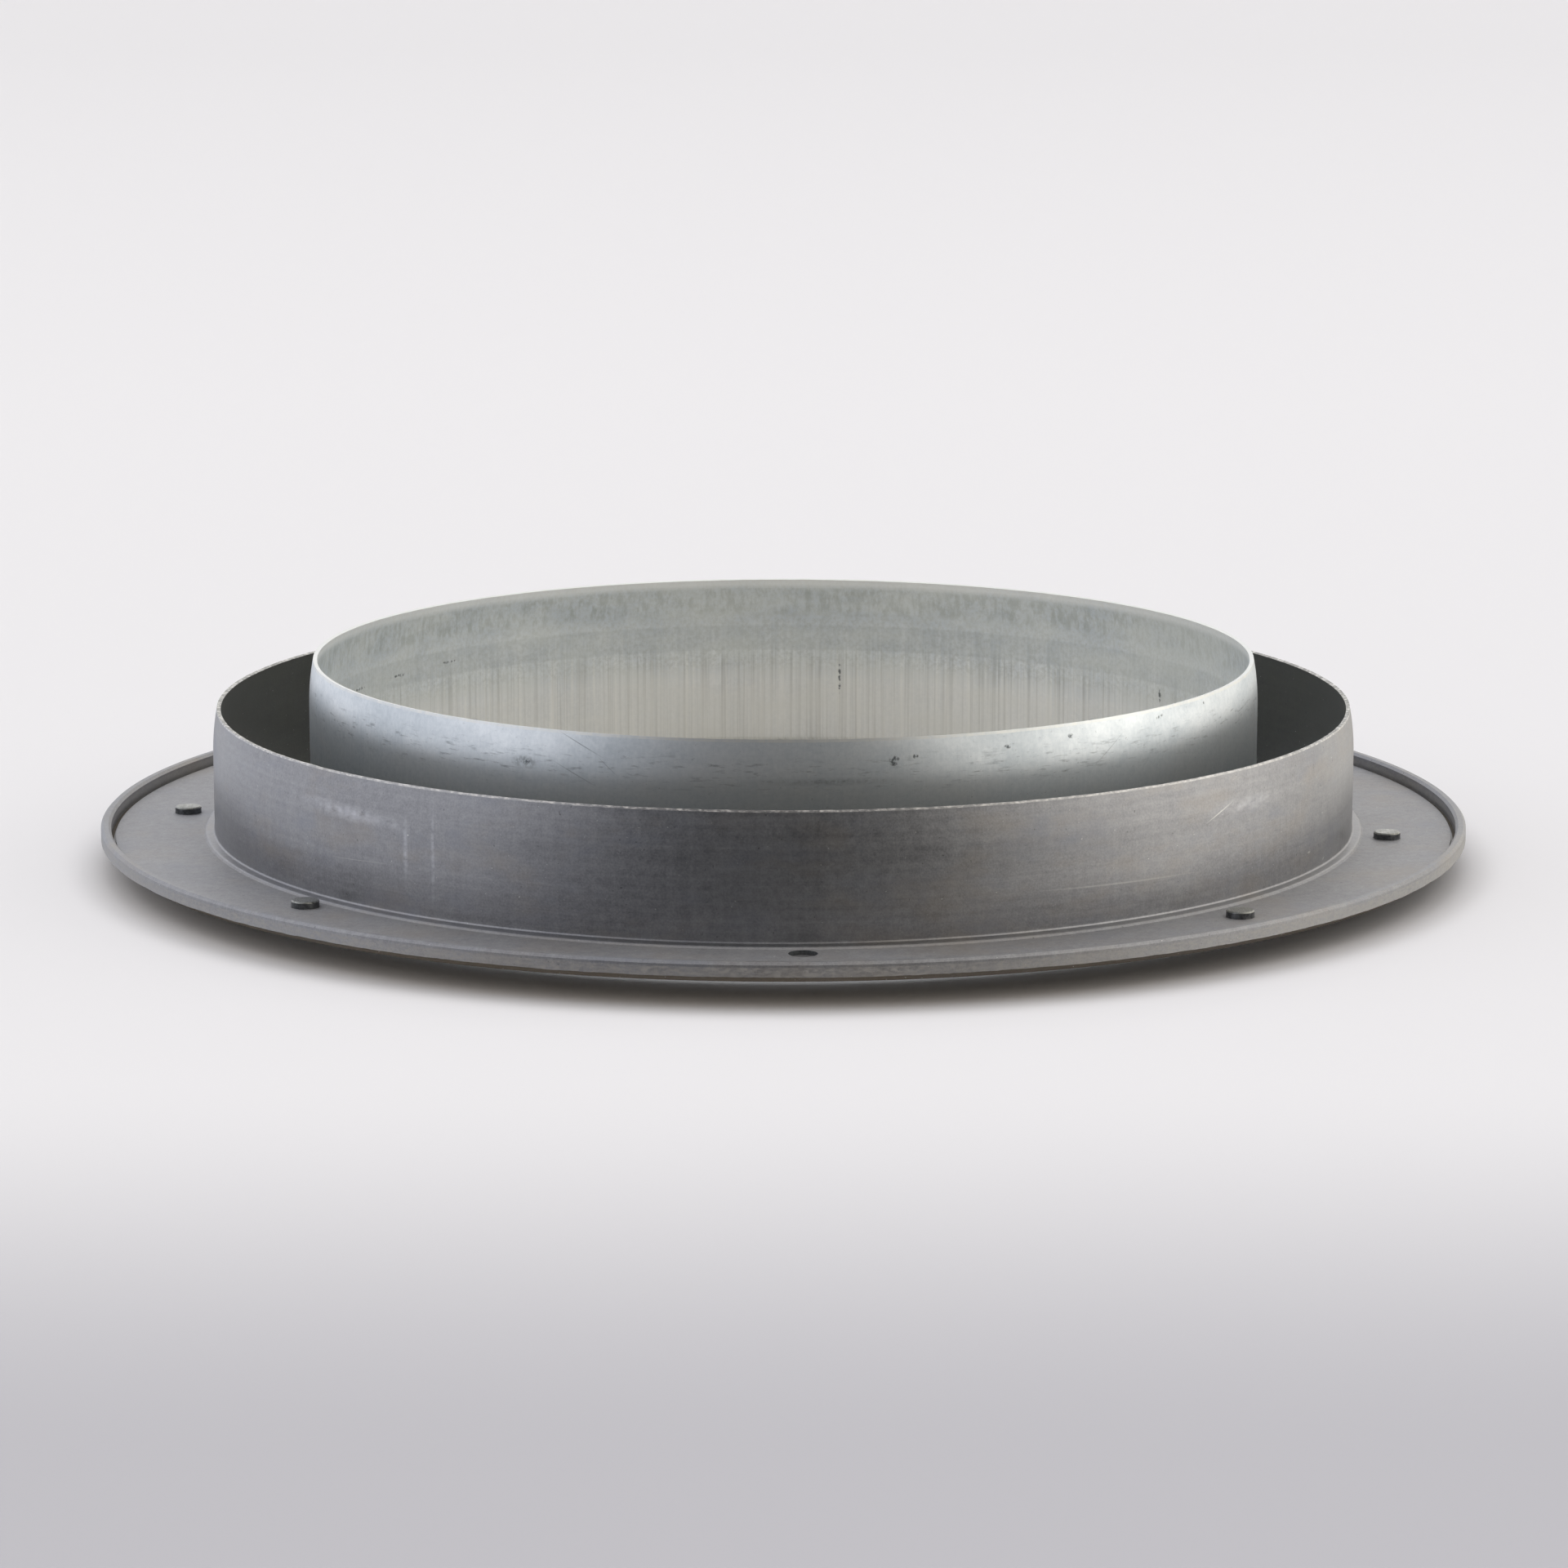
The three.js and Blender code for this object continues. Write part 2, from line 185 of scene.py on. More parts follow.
# Hot-dip galvanised sheet, drawn: pale blue-grey zinc, bright where the mouth curls in, with fine mottle
# near the lip, upright wipe marks from the die below it, and dark pits where the zinc is broken.
galvanisedLook = {
    "pale": "#EEF1F3", "deep": "#BEC6CC", "olive": "#D0D4CF", "sand": "#E2DFD8", "pit": "#4A4F53",
    "burr": "#DEDFDC", "soot": "#757B80", "smudge": "#5E6468", "scratch": "#6A7074",
    "drag": "#979B9B", "shine": "#F8F9F6", "ruck": "#8F958F", "step": "#9AA2A4", "rubbed": "#FAFBFA",
    "metallic": {"outside": 0.85, "inside": 0.2},    # the wiped inside is as matt as paint
    "roughness": (0.45, 0.30),  # from the darkest to the palest zinc
    "spangle": 3.2,             # mm across a zinc crystal of a minimised-spangle coat
    "mottle": 0.9,              # mm
    "wipeWidth": 0.55,          # mm across a die mark
    "bump": 0.16,
}

# heights in mm on the inside of the core ring: where a band starts and ends, and how softly
wallFoot = -50                  # lower than any wall, so that a band has no lower end
insideBands = {
    "drawn": (wallFoot, 31, 5),          # wiped by the die
    "dragged": (wallFoot, 24, 6),        # upright drag lines
    "paintedReflection": (wallFoot, 18, 8),           # painted reflection of the bright bottom: the lower wall is tinted pale sand
    "step": (27.5, 33, 0.5),             # left by the second draw
    "rucked": (37, 41.5, 1.5),           # zinc rucked up by the curling
    "mottled": (24, 44, 4),
    "rubbed": (43.3, 50, 1.2),           # the curl at the mouth is rubbed bright
}


def galvanisedSteel(name, inside=False, lip=None, radius=104.2, pits=(), scratches=(), smudges=()):
    look = galvanisedLook
    metallic = look["metallic"]["inside" if inside else "outside"]
    material, tree, place = startMaterial(name, {"Metallic": metallic})
    crystals = addNode(tree, "TexVoronoi", {"Vector": place, "Scale": 1 / look["spangle"]}, out="Color")
    crystals = addNode(tree, "SeparateColor", {0: crystals})
    mottle = grain(tree, place, (look["mottle"],) * 3, 0.38, 0.62, 5.0)
    cloud = grain(tree, place, (26, 26, 10), 0.36, 0.64, 5.0)
    wipes = grain(tree, place, (look["wipeWidth"], look["wipeWidth"], 60), 0.34, 0.66, 5.0)
    broad = grain(tree, place, (5, 5, 90), 0.35, 0.65, 3.0)
    tone = addNode(tree, "Math", {0: cloud, 1: 0.34}, operation="MULTIPLY")
    for pattern, share in ((crystals, 0.10), (mottle, 0.26 if inside else 0.16)):
        tone = addNode(tree, "Math", {0: pattern, 1: share, 2: tone}, operation="MULTIPLY_ADD")
    streaks = addNode(tree, "Math", {0: broad, 1: wipes}, operation="ADD")
    if inside:
        drawn = heightBand(tree, place, *insideBands["drawn"])
        streaks = addNode(tree, "Math", {0: streaks, 1: drawn}, operation="MULTIPLY")
    tone = addNode(tree, "Math", {0: streaks, 1: 0.34 if inside else 0.08, 2: tone}, operation="MULTIPLY_ADD")
    colour = addNode(tree, "Mix", {0: tone, 6: linear(look["deep"]), 7: linear(look["pale"])},
                     data_type="RGBA")
    if not inside:
        soot = grain(tree, place, (4, 4, 0.7), 0.56, 0.80, 5.0)
        reach = heightBand(tree, place, 36, 39, 3)
        soot = addNode(tree, "Math", {0: soot, 1: reach}, operation="MULTIPLY")
        crumbs = grain(tree, place, (0.9, 0.9, 0.6), 0.66, 0.78, 3.0)
        crumbs = addNode(tree, "Math", {0: crumbs, 1: 0.5}, operation="MULTIPLY")
        soot = addNode(tree, "Math", {0: soot, 1: crumbs}, operation="ADD", use_clamp=True)
        colour = addNode(tree, "Mix", {0: soot, 6: colour, 7: linear(look["soot"])}, data_type="RGBA")
    if inside:
        drag = grain(tree, place, (0.9, 0.9, 80), 0.50, 0.66, 3.0)
        shine = grain(tree, place, (1.3, 1.3, 60), 0.54, 0.68, 3.0)
        dragged = heightBand(tree, place, *insideBands["dragged"])
        for pattern, share, shade in ((drag, 0.6, look["drag"]), (shine, 0.55, look["shine"])):
            lines = addNode(tree, "Math", {0: pattern, 1: share}, operation="MULTIPLY")
            lines = addNode(tree, "Math", {0: lines, 1: dragged}, operation="MULTIPLY")
            colour = addNode(tree, "Mix", {0: lines, 6: colour, 7: linear(shade)}, data_type="RGBA")
        teeth = grain(tree, place, (1.5, 1.5, 4), 0.46, 0.60, 4.0)
        for pattern, band in ((teeth, "rucked"), (mottle, "mottled")):
            rucks = heightBand(tree, place, *insideBands[band])
            rucks = addNode(tree, "Math", {0: rucks, 1: pattern}, operation="MULTIPLY")
            rucks = addNode(tree, "Math", {0: rucks, 1: 0.42}, operation="MULTIPLY")
            colour = addNode(tree, "Mix", {0: rucks, 6: colour, 7: linear(look["ruck"])}, data_type="RGBA")
        for pattern, share, shade in (
            (heightBand(tree, place, *insideBands["step"]), 0.28, "step"),
            (cloud, 0.5, "olive"),
            (heightBand(tree, place, *insideBands["paintedReflection"]), 0.5, "sand"),
            (heightBand(tree, place, *insideBands["rubbed"]), 0.5, "rubbed"),
        ):
            amount = addNode(tree, "Math", {0: pattern, 1: share}, operation="MULTIPLY")
            colour = addNode(tree, "Mix", {0: amount, 6: colour, 7: linear(look[shade])}, data_type="RGBA")
    if smudges:
        smudge = wallMarks(tree, place, radius, smudges)
        smudge = addNode(tree, "Math", {0: smudge, 1: mottle}, operation="MULTIPLY", use_clamp=True)
        colour = addNode(tree, "Mix", {0: smudge, 6: colour, 7: linear(look["smudge"])}, data_type="RGBA")
    if pits:
        holes = wallMarks(tree, place, radius, pits)
        holes = addNode(tree, "Math", {0: holes, 1: mottle}, operation="MULTIPLY")
        holes = addNode(tree, "MapRange", {"Value": holes, "From Min": 0.14, "From Max": 0.42,
                                           "To Max": 0.85})
        colour = addNode(tree, "Mix", {0: holes, 6: colour, 7: linear(look["pit"])}, data_type="RGBA")
    if scratches:
        lines = wallMarks(tree, place, radius, scratches)
        colour = addNode(tree, "Mix", {0: lines, 6: colour, 7: linear(look["scratch"])}, data_type="RGBA")
    if lip:
        edge = heightBand(tree, place, lip[0], lip[1], 0.12)
        dashes = grain(tree, place, (2.0, 2.0, 3), 0.42, 0.62, 3.0)
        dashes = addNode(tree, "MapRange", {"Value": dashes, "To Min": 0.45, "To Max": 0.95})
        edge = addNode(tree, "Math", {0: edge, 1: dashes}, operation="MULTIPLY")
        colour = addNode(tree, "Mix", {0: edge, 6: colour, 7: linear(look["burr"])}, data_type="RGBA")
    relief = addNode(tree, "Math", {0: mottle, 1: 0.5, 2: streaks}, operation="MULTIPLY_ADD")
    return finishMaterial(material, colour, tone, look["roughness"], relief, look["bump"])


# Cut steel pins, cropped and pressed in: pale cropped top with fine shear lines, dark burnished side; the
# pale top is partly painted light from above, the dark side partly painted shade.
cutSteelLook = {
    "side": "#585A5C", "sidePale": "#77797A", "top": "#A3A4A1", "topDark": "#868781",
    "roughness": (0.26, 0.48), "shearWidth": 0.25,
}


def cutSteel(topHeight):
    look = cutSteelLook
    material, tree, place = startMaterial("cutSteel", {"Metallic": 1.0})
    shear = grain(tree, place, (look["shearWidth"], 6, 6), 0.3, 0.7, 3.0)
    mottle = grain(tree, place, (0.8, 0.8, 0.8), 0.35, 0.65, 3.0)
    # painted light and shade: the top band gets the pale colour, the side the dark one
    top = heightBand(tree, place, topHeight - 0.3, topHeight + 1, 0.15)
    shade = addNode(tree, "Mix", {0: mottle, 6: linear(look["side"]), 7: linear(look["sidePale"])},
                    data_type="RGBA")
    pale = addNode(tree, "Mix", {0: shear, 6: linear(look["topDark"]), 7: linear(look["top"])},
                   data_type="RGBA")
    colour = addNode(tree, "Mix", {0: top, 6: shade, 7: pale}, data_type="RGBA")
    return finishMaterial(material, colour, mottle, look["roughness"], shear, 0.15)


# Zinc-plated steel, clear passivated: bright and slightly blue, with a soft cloud and turning marks.
zincLook = {"pale": "#C9CDD2", "deep": "#A2A8AF", "roughness": (0.34, 0.20), "turning": 0.3}


def zincPlatedSteel(name, turned=True):
    look = zincLook
    material, tree, place = startMaterial(name, {"Metallic": 1.0})
    cloud = grain(tree, place, (6, 6, 6), 0.3, 0.7, 4.0)
    turning = grain(tree, place, (40, 40, look["turning"]) if turned else (0.6, 0.6, 0.6), 0.3, 0.7, 2.0)
    tone = addNode(tree, "Math", {0: turning, 1: 0.35}, operation="MULTIPLY")
    tone = addNode(tree, "Math", {0: cloud, 1: 0.6, 2: tone}, operation="MULTIPLY_ADD")
    colour = addNode(tree, "Mix", {0: tone, 6: linear(look["deep"]), 7: linear(look["pale"])},
                     data_type="RGBA")
    return finishMaterial(material, colour, tone, look["roughness"], turning, 0.1, 0.02)


# Moulded natural nylon 6: creamy, slightly see-through skin with a fine mould texture.
nylonLook = {"body": "#D9D3C2", "shade": "#C6BEA9", "roughness": (0.40, 0.6), "texture": 0.35}


def naturalNylon():
    look = nylonLook
    material, tree, place = startMaterial("naturalNylon", {
        "IOR": 1.53, "Subsurface Weight": 0.12, "Subsurface Scale": 1.5 * mm})
    cloud = grain(tree, place, (4, 4, 4), 0.3, 0.7, 3.0)
    skin = grain(tree, place, (look["texture"],) * 3, 0.3, 0.7, 2.0)
    colour = addNode(tree, "Mix", {0: cloud, 6: linear(look["shade"]), 7: linear(look["body"])},
                     data_type="RGBA")
    return finishMaterial(material, colour, skin, look["roughness"], skin, 0.1)


print("materials ready")


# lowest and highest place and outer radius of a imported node, in mm
def measure(node):
    low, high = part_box(node)
    return {"low": low[2] / mm, "high": high[2] / mm, "radius": high[0] / mm}


def meshFrom(shape, name):
    mesh = bpy.data.meshes.new(name)
    shape.to_mesh(mesh)
    shape.free()
    return mesh


# a centre line of (radius, height, bend radius) points with each corner rounded to its bend
def bent(points, step=12):
    line = []
    for i, (r, z, bend) in enumerate(points):
        if bend == 0 or i in (0, len(points) - 1):
            line.append((r, z))
            continue
        here = Vector((r, z))
        before = (Vector(points[i - 1][:2]) - here).normalized()
        after = (Vector(points[i + 1][:2]) - here).normalized()
        half = before.angle(after) / 2
        reach = bend / math.tan(half)
        centre = here + (before + after).normalized() * bend / math.sin(half)
        start = here + before * reach - centre
        turn = math.pi - 2 * half
        side = 1 if before.x * after.y - before.y * after.x < 0 else -1
        count = max(2, math.ceil(math.degrees(turn) / step))
        for k in range(count + 1):
            angle = side * turn * k / count
            c, s = math.cos(angle), math.sin(angle)
            line.append((centre.x + start.x * c - start.y * s, centre.y + start.x * s + start.y * c))
    return line


# both faces of a sheet along its centre line, as one closed outline
def sheetOutline(line, sheet):
    left, right = [], []
    for i, point in enumerate(line):
        here = Vector(point)
        before = (here - Vector(line[i - 1])).normalized() if i else None
        after = (Vector(line[i + 1]) - here).normalized() if i < len(line) - 1 else None
        along = ((before or after) + (after or before)).normalized()
        spread = sheet / 2 / max(0.5, along.dot(before or after))
        normal = Vector((-along.y, along.x)) * spread
        left.append(tuple(here + normal))
        right.append(tuple(here - normal))
    return left + right[::-1]


# the centre line of a wall whose mouth curls in by curl mm over its last curlHeight mm
def curledWall(radius, foot, top, curl, curlHeight, steps=10):
    start = top - curlHeight
    parts = [i / steps for i in range(steps + 1)]
    return [(radius, foot, 0)] + [(radius - curl * p * p, start + curlHeight * p, 0) for p in parts]


# puts a finished mesh in the scene with its looks and its body, named after the node that it stands for
def addPiece(node, mesh, materials, body, sharp=38):
    for material in materials:
        mesh.materials.append(material)
    for face in mesh.polygons:
        face.use_smooth = True
    mesh.set_sharp_from_angle(angle=math.radians(sharp))
    piece = bpy.data.objects.new(node + "_fine", mesh)
    bpy.context.collection.objects.link(piece)
    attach(piece, body)
    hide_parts(node)
    return piece


# a closed outline of (radius, height) in mm, turned about Z; ragged gives a cut edge its burrs
def turnedMesh(name, outline, segments, ragged=None, centre=(0, 0), faceSlot=None):
    shape = bmesh.new()
    rings = []
    burrs = [0.0] * segments
    if ragged:
        rough = [chance.uniform(-1, 1) for _ in range(segments)]
        wide = [sum(rough[(i + k) % segments] for k in range(-2, 3)) / 5 for i in range(segments)]
        burrs = [ragged["depth"] * (0.55 * rough[i] + wide[i] - 0.6) for i in range(segments)]
    for i in range(segments):
        turn = 2 * math.pi * i / segments
        c, s = math.cos(turn), math.sin(turn)
        ring = []
        for r, z in outline:
            atEdge = ragged and ragged["low"] <= z <= ragged["high"] and r >= ragged.get("from", 0)
            lift = burrs[i] * ragged.get("sign", 1) if atEdge else 0
            at = ((centre[0] + r * c) * mm, (centre[1] + r * s) * mm, (z + lift) * mm)
            ring.append(shape.verts.new(at))
        rings.append(ring)
    count = len(outline)
    for i in range(segments):
        here, there = rings[i], rings[(i + 1) % segments]
        for k in range(count):
            n = (k + 1) % count
            face = shape.faces.new((here[k], there[k], there[n], here[n]))
            if faceSlot:
                face.material_index = faceSlot(k)
    bmesh.ops.remove_doubles(shape, verts=shape.verts, dist=1e-7)
    bmesh.ops.recalc_face_normals(shape, faces=shape.faces)
    return meshFrom(shape, name)


# a flat outline of (x, y) in mm, raised between two heights, with its edges broken a little
def raisedMesh(name, outline, low, high, edge=0.15, matrix=None, holes=()):
    shape = bmesh.new()
    floor = [shape.verts.new((x * mm, y * mm, low * mm)) for x, y in outline]
    face = shape.faces.new(floor)
    lifted = bmesh.ops.extrude_face_region(shape, geom=[face])
    moved = [v for v in lifted["geom"] if isinstance(v, bmesh.types.BMVert)]
    bmesh.ops.translate(shape, verts=moved, vec=(0, 0, (high - low) * mm))
    bmesh.ops.recalc_face_normals(shape, faces=shape.faces)
    if edge:
        rim = [e for e in shape.edges if e.calc_face_angle(0) > math.radians(50)]
        bmesh.ops.bevel(shape, geom=rim, offset=edge * mm, segments=2, affect="EDGES", profile=0.5)
    if matrix:
        bmesh.ops.transform(shape, matrix=matrix, verts=shape.verts)
    mesh = meshFrom(shape, name)
    return drilled(mesh, holes) if holes else mesh


# cuts round holes, each (matrix of its axis, radius, half depth) in mm
def drilled(mesh, holes, segments=48):
    tools = bmesh.new()
    for matrix, radius, halfDepth in holes:
        bmesh.ops.create_cone(tools, cap_ends=True, segments=segments, radius1=radius * mm,
                              radius2=radius * mm, depth=2 * halfDepth * mm, matrix=matrix)
    return combined(mesh, meshFrom(tools, "tools"), "DIFFERENCE")


# cuts a tool from a mesh, joins it on, or keeps what lies in both; how is the name Blender has for it
def combined(mesh, toolMesh, how):
    body, tool = bpy.data.objects.new("body", mesh), bpy.data.objects.new("tool", toolMesh)
    for one in (body, tool):
        bpy.context.collection.objects.link(one)
    work = body.modifiers.new("cut", "BOOLEAN")
    work.operation, work.object, work.solver = how, tool, "EXACT"
    ready = body.evaluated_get(bpy.context.evaluated_depsgraph_get())
    result = bpy.data.meshes.new_from_object(ready)
    result.name = mesh.name + "_cut"
    for one in (body, tool):
        bpy.data.objects.remove(one)
    return result


standUp = Matrix(((1, 0, 0, 0), (0, 0, -1, 0), (0, 1, 0, 0), (0, 0, 0, 1)))      # an outline's y becomes Z
layAlong = Matrix(((0, 0, 1, 0), (1, 0, 0, 0), (0, 1, 0, 0), (0, 0, 0, 1)))      # and here its run becomes X


def upright(x, y, z=0):
    return Matrix.Translation((x * mm, y * mm, z * mm))


# the axis of a rod that points outwards at an angle, at a height and off to one side
def outwards(degrees, reach, side, height):
    spin = Matrix.Rotation(math.radians(degrees), 4, "Z")
    shift = Matrix.Translation((reach * mm, side * mm, height * mm))
    return spin @ shift @ Matrix.Rotation(math.pi / 2, 4, "Y")


rim = measure("trim_ring")
collar = measure("collar_plate")
core = measure("core_ring")
ringSteps = 960             # steps round a ring, 0.8 mm long at the collar

trimRing = {
    "sheet": 0.9,
    "innerRadius": 127.2,
    "hemGap": 0.4,           # between the two legs of the folded rim
    "hemDrop": 3.0,          # how far the folded leg comes back down
    "foldCut": 0.29,         # the fold is pressed flat, with its corners just broken
    "tornAndLit": 1.9,             # height of the pale band at the lower edge of the hem: partly torn metal, partly painted highlight
    "bend": 1.0,
    "burr": 0.07,
    "legShadeWidth": 0.6,       # how far the painted shade runs past the bend
    "legShadeSpecular": 0.1,    # dull, so that the painted shade stays dark
    "steel": {"metallic": 0.85, "roughness": (0.42, 0.58), "burr": "#9C9A97"},   # duller than the wall
    # painted shade: the upright leg and its bend under the hem are coloured dark brown and matt, where the
    # rim shades them
    "legShade": {"dark": "#544F48", "light": "#6C665E", "warm": "#60584A", "cool": "#5A5854",
              "metallic": 0.0, "roughness": (0.7, 0.85)},
}

collarPlate = {
    "sheet": 0.85,
    "plateRadius": 146.8,
    "plateTop": rim["high"] - 2.6,
    "wallRadius": 125.3,
    "footStep": (127.0, 0.55),   # radius and rise of the step at the foot
    "curl": 1.0, "curlHeight": 10,
    "burr": 0.03,
    # painted shade: the inside of the collar is a darker copy of the same steel, where shade falls between
    # the collar and the core ring
    "inside": {"dark": "#565755", "light": "#71726D", "warm": "#66675E", "cool": "#5A5B58",
               "metallic": 0.75, "roughness": (0.45, 0.6)},
    "flange": {"metallic": 0.6, "roughness": (0.5, 0.62)},   # a dull oxide film lies on the flat flange
}

coreRing = {
    "sheet": 0.9,
    "wallRadius": 104.2,
    "flangeBend": 1.2,
    "curl": 1.0, "curlHeight": 10,
    "burr": 0.02,
}

# stud places as degrees and radius, in the order of the nodes; the plate's own hole has no stud
studPlaces = []
for number in range(1, 8):
    low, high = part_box(f"flange_stud_{number}")
    middle = (low + high) / 2
    studPlaces.append((math.degrees(math.atan2(middle.y, middle.x)), math.hypot(middle.x, middle.y) / mm))
openHole = (271.7, 131)
studRadius = (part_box("flange_stud_1")[1].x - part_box("flange_stud_1")[0].x) / 2 / mm


def studHoles(places):
    holes = []
    for degrees, radius in places:
        turn = math.radians(degrees)
        holes.append((upright(radius * math.cos(turn), radius * math.sin(turn), rim["low"] + 1),
                      studRadius + 0.05, 4))
    return holes


# gives the walls of the empty stud hole the painted shade, by its place in the mesh's list
def shadeHole(mesh, index):
    turn = math.radians(openHole[0])
    middle = Vector((math.cos(turn), math.sin(turn))) * openHole[1]
    for face in mesh.polygons:
        away = face.center.xy / mm - middle
        if away.length < studRadius + 0.1 and abs(face.normal.z) < 0.5:
            face.material_index = index


# Painted shade in the hole that lost its stud: its walls are coloured nearly black, so that the hole reads as
# a dark gap.
def holeShade():
    material, tree, place = startMaterial("holeShade", {"Metallic": 0.3})
    surface = tree.nodes["Principled BSDF"]
    holeMottle = grain(tree, place, (0.5, 0.5, 0.5), 0.35, 0.65, 3.0)
    colour = addNode(tree, "Mix", {0: holeMottle, 6: linear("#37393C"), 7: linear("#54585B")}, data_type="RGBA")
    tree.links.new(colour, surface.inputs["Base Color"])
    rough = addNode(tree, "MapRange", {"Value": holeMottle, "To Min": 0.6, "To Max": 0.8})
    tree.links.new(rough, surface.inputs["Roughness"])
    return material


def makeTrimRing():
    look = trimRing
    half = look["sheet"] / 2
    floor = rim["low"] + half
    outer = rim["radius"] - half                           # middle of the folded leg
    inner = outer - look["hemGap"] - look["sheet"]         # middle of the upright leg
    crest = rim["high"] - half
    cut = look["foldCut"]
    line = [
        (look["innerRadius"], floor, 0),
        (inner, floor, look["bend"]),
        (inner, crest - cut, 0),
        (inner + cut, crest, 0),
        (outer - cut, crest, 0),
        (outer, crest - cut, 0),
        (outer, rim["high"] - look["hemDrop"], 0),
    ]
    outline = sheetOutline(bent(line, 10), look["sheet"])
    hemFoot = rim["high"] - look["hemDrop"]
    cutEdge = {"low": hemFoot - 0.01, "high": hemFoot + 0.01, "from": outer - half - 0.1,
               "depth": look["burr"], "sign": -1}
    legShadeFrom = inner - look["bend"] - look["legShadeWidth"]

    def whichSteel(k):       # the upright leg and its bend, below the hem, get the painted shade
        r, z = outline[k]
        return int(r > legShadeFrom and z < hemFoot - 0.2)

    mesh = turnedMesh("trim_ring_sheet", outline, ringSteps, cutEdge, faceSlot=whichSteel)
    # the pale matt band at the hem foot is partly the torn edge, partly a painted highlight
    steel = coldRolledSteel("coldRolledSteelRim", (hemFoot - 0.25, hemFoot + look["tornAndLit"]),
                            changes=look["steel"])
    # painted shade under the hem, dark and dull
    legShadeSteel = coldRolledSteel("coldRolledSteelLegShade", changes=look["legShade"])
    shader = legShadeSteel.node_tree.nodes["Principled BSDF"]
    shader.inputs["Specular IOR Level"].default_value = look["legShadeSpecular"]
    addPiece("trim_ring", drilled(mesh, studHoles(studPlaces)), [steel, legShadeSteel], "frame")


def makeCollarPlate():
    look = collarPlate
    half = look["sheet"] / 2
    plate = look["plateTop"] - half
    stepRadius, stepRise = look["footStep"]
    wall = look["wallRadius"] - half
    mouth = collar["high"] - 0.1
    line = [
        (look["plateRadius"], plate, 0),
        (stepRadius + 0.45, plate, 0.5),
        (stepRadius - 0.05, plate + stepRise, 0.5),
        (wall, plate + stepRise + 0.15, 0.9),
    ] + curledWall(wall, plate + stepRise + 1.5, mouth, look["curl"], look["curlHeight"])
    outline = sheetOutline(bent(line, 10), look["sheet"])
    cutEdge = {"low": mouth - 0.2, "high": mouth + 0.2, "depth": look["burr"]}
    count = len(outline)

    def whichSteel(k):       # the upper and outer side comes last in the outline, from mouth to flange
        if k < count // 2:
            return 1
        return 2 if outline[k][0] > stepRadius + 0.2 else 0

    mesh = turnedMesh("collar_plate_sheet", outline, ringSteps, cutEdge, faceSlot=whichSteel)
    steel = coldRolledSteel("coldRolledSteelCollar", (mouth - 0.3, mouth + 0.5), look["wallRadius"],
                            collarScratches, collarSmears)
    # the inside gets the darker steel, painted shade
    shadedInside = coldRolledSteel("coldRolledSteelShadedInside", (mouth - 0.1, mouth + 0.5), changes=look["inside"])
    dull = coldRolledSteel("coldRolledSteelDull", changes=look["flange"])
    mesh = drilled(mesh, studHoles(studPlaces + [openHole]))
    shadeHole(mesh, 3)
    addPiece("collar_plate", mesh, [steel, shadedInside, dull, holeShade()], "frame")


def makeCoreRing():
    look = coreRing
    half = look["sheet"] / 2
    wall = look["wallRadius"] - half
    flange = core["low"] + half
    mouth = core["high"] - 0.12
    line = [
        (core["radius"], flange, 0),
        (wall, flange, look["flangeBend"]),
    ] + curledWall(wall, flange + 2, mouth, look["curl"], look["curlHeight"])
    outline = sheetOutline(bent(line, 10), look["sheet"])
    cutEdge = {"low": mouth - 0.2, "high": mouth + 0.2, "depth": look["burr"]}
    count = len(outline)
    mesh = turnedMesh("core_ring_sheet", outline, ringSteps, cutEdge, faceSlot=lambda k: int(k < count // 2))
    outside = galvanisedSteel("galvanisedSteelDrawn", False, (mouth - 0.45, mouth + 0.5), look["wallRadius"],
                              corePits, coreScratches, coreSmudges)
    inside = galvanisedSteel("galvanisedSteelMottled", True, (mouth - 0.2, mouth + 0.5),
                             look["wallRadius"] - look["sheet"], coreInsidePits)
    addPiece("core_ring", mesh, [outside, inside], "frame")


# marks as degrees round the axis (270 is the front), height, length and width in mm, lean in degrees
# and strength
collarScratches = [
    (315.5, 26.5, 11, 0.35, 22, 0.9),
    (303, 15.5, 50, 0.5, -1, 0.35),
    (332, 12, 2, 0.6, 0, 0.9), (336, 9, 1.6, 0.6, 20, 0.8), (341, 7, 1.4, 0.5, 0, 0.8),
    (226, 17, 20, 0.3, 3, 0.3),
]
collarSmears = [
    (225, 26.5, 44, 4, -3, 0.8),
    (232.3, 21, 1.6, 18, 0, 0.9), (235.6, 20, 1.2, 24, 0, 0.9),
    (320, 27, 30, 4, 0, 0.5),
]
corePits = [
    (282.4, 40, 3.2, 3.4, 0, 1.0), (284.9, 40.6, 1.6, 1.4, 0, 1.0), (296, 41.2, 2.2, 1.2, 0, 1.0),
    (304.5, 42, 2.0, 1.6, 0, 1.0), (319, 42.7, 3.4, 1.4, 12, 1.0), (328.5, 43, 2.2, 1.2, 0, 1.0),
]
coreScratches = [
    (246.5, 42.2, 13, 0.3, -25, 0.8), (246, 36, 13, 0.3, -25, 0.6), (250, 38, 7, 0.25, -40, 0.5),
    (310, 38, 14, 0.25, 35, 0.5),
]
coreSmudges = [(239.5, 37.5, 7, 3, 0, 1.3), (275, 36, 40, 2, 0, 0.5)]
coreInsidePits = [
    (159, 29.6, 7, 1.0, 0, 1.0), (149, 29.8, 9, 1.0, 0, 1.0), (139, 30.5, 7, 0.9, 0, 1.0),
    (82.5, 20.5, 0.9, 10, 0, 1.0), (32.6, 24.4, 1.2, 5, 0, 1.0),
]

makeTrimRing()
makeCollarPlate()
makeCoreRing()
print("rings ready")


stud = {"chamfer": 0.28, "dome": 0.06}


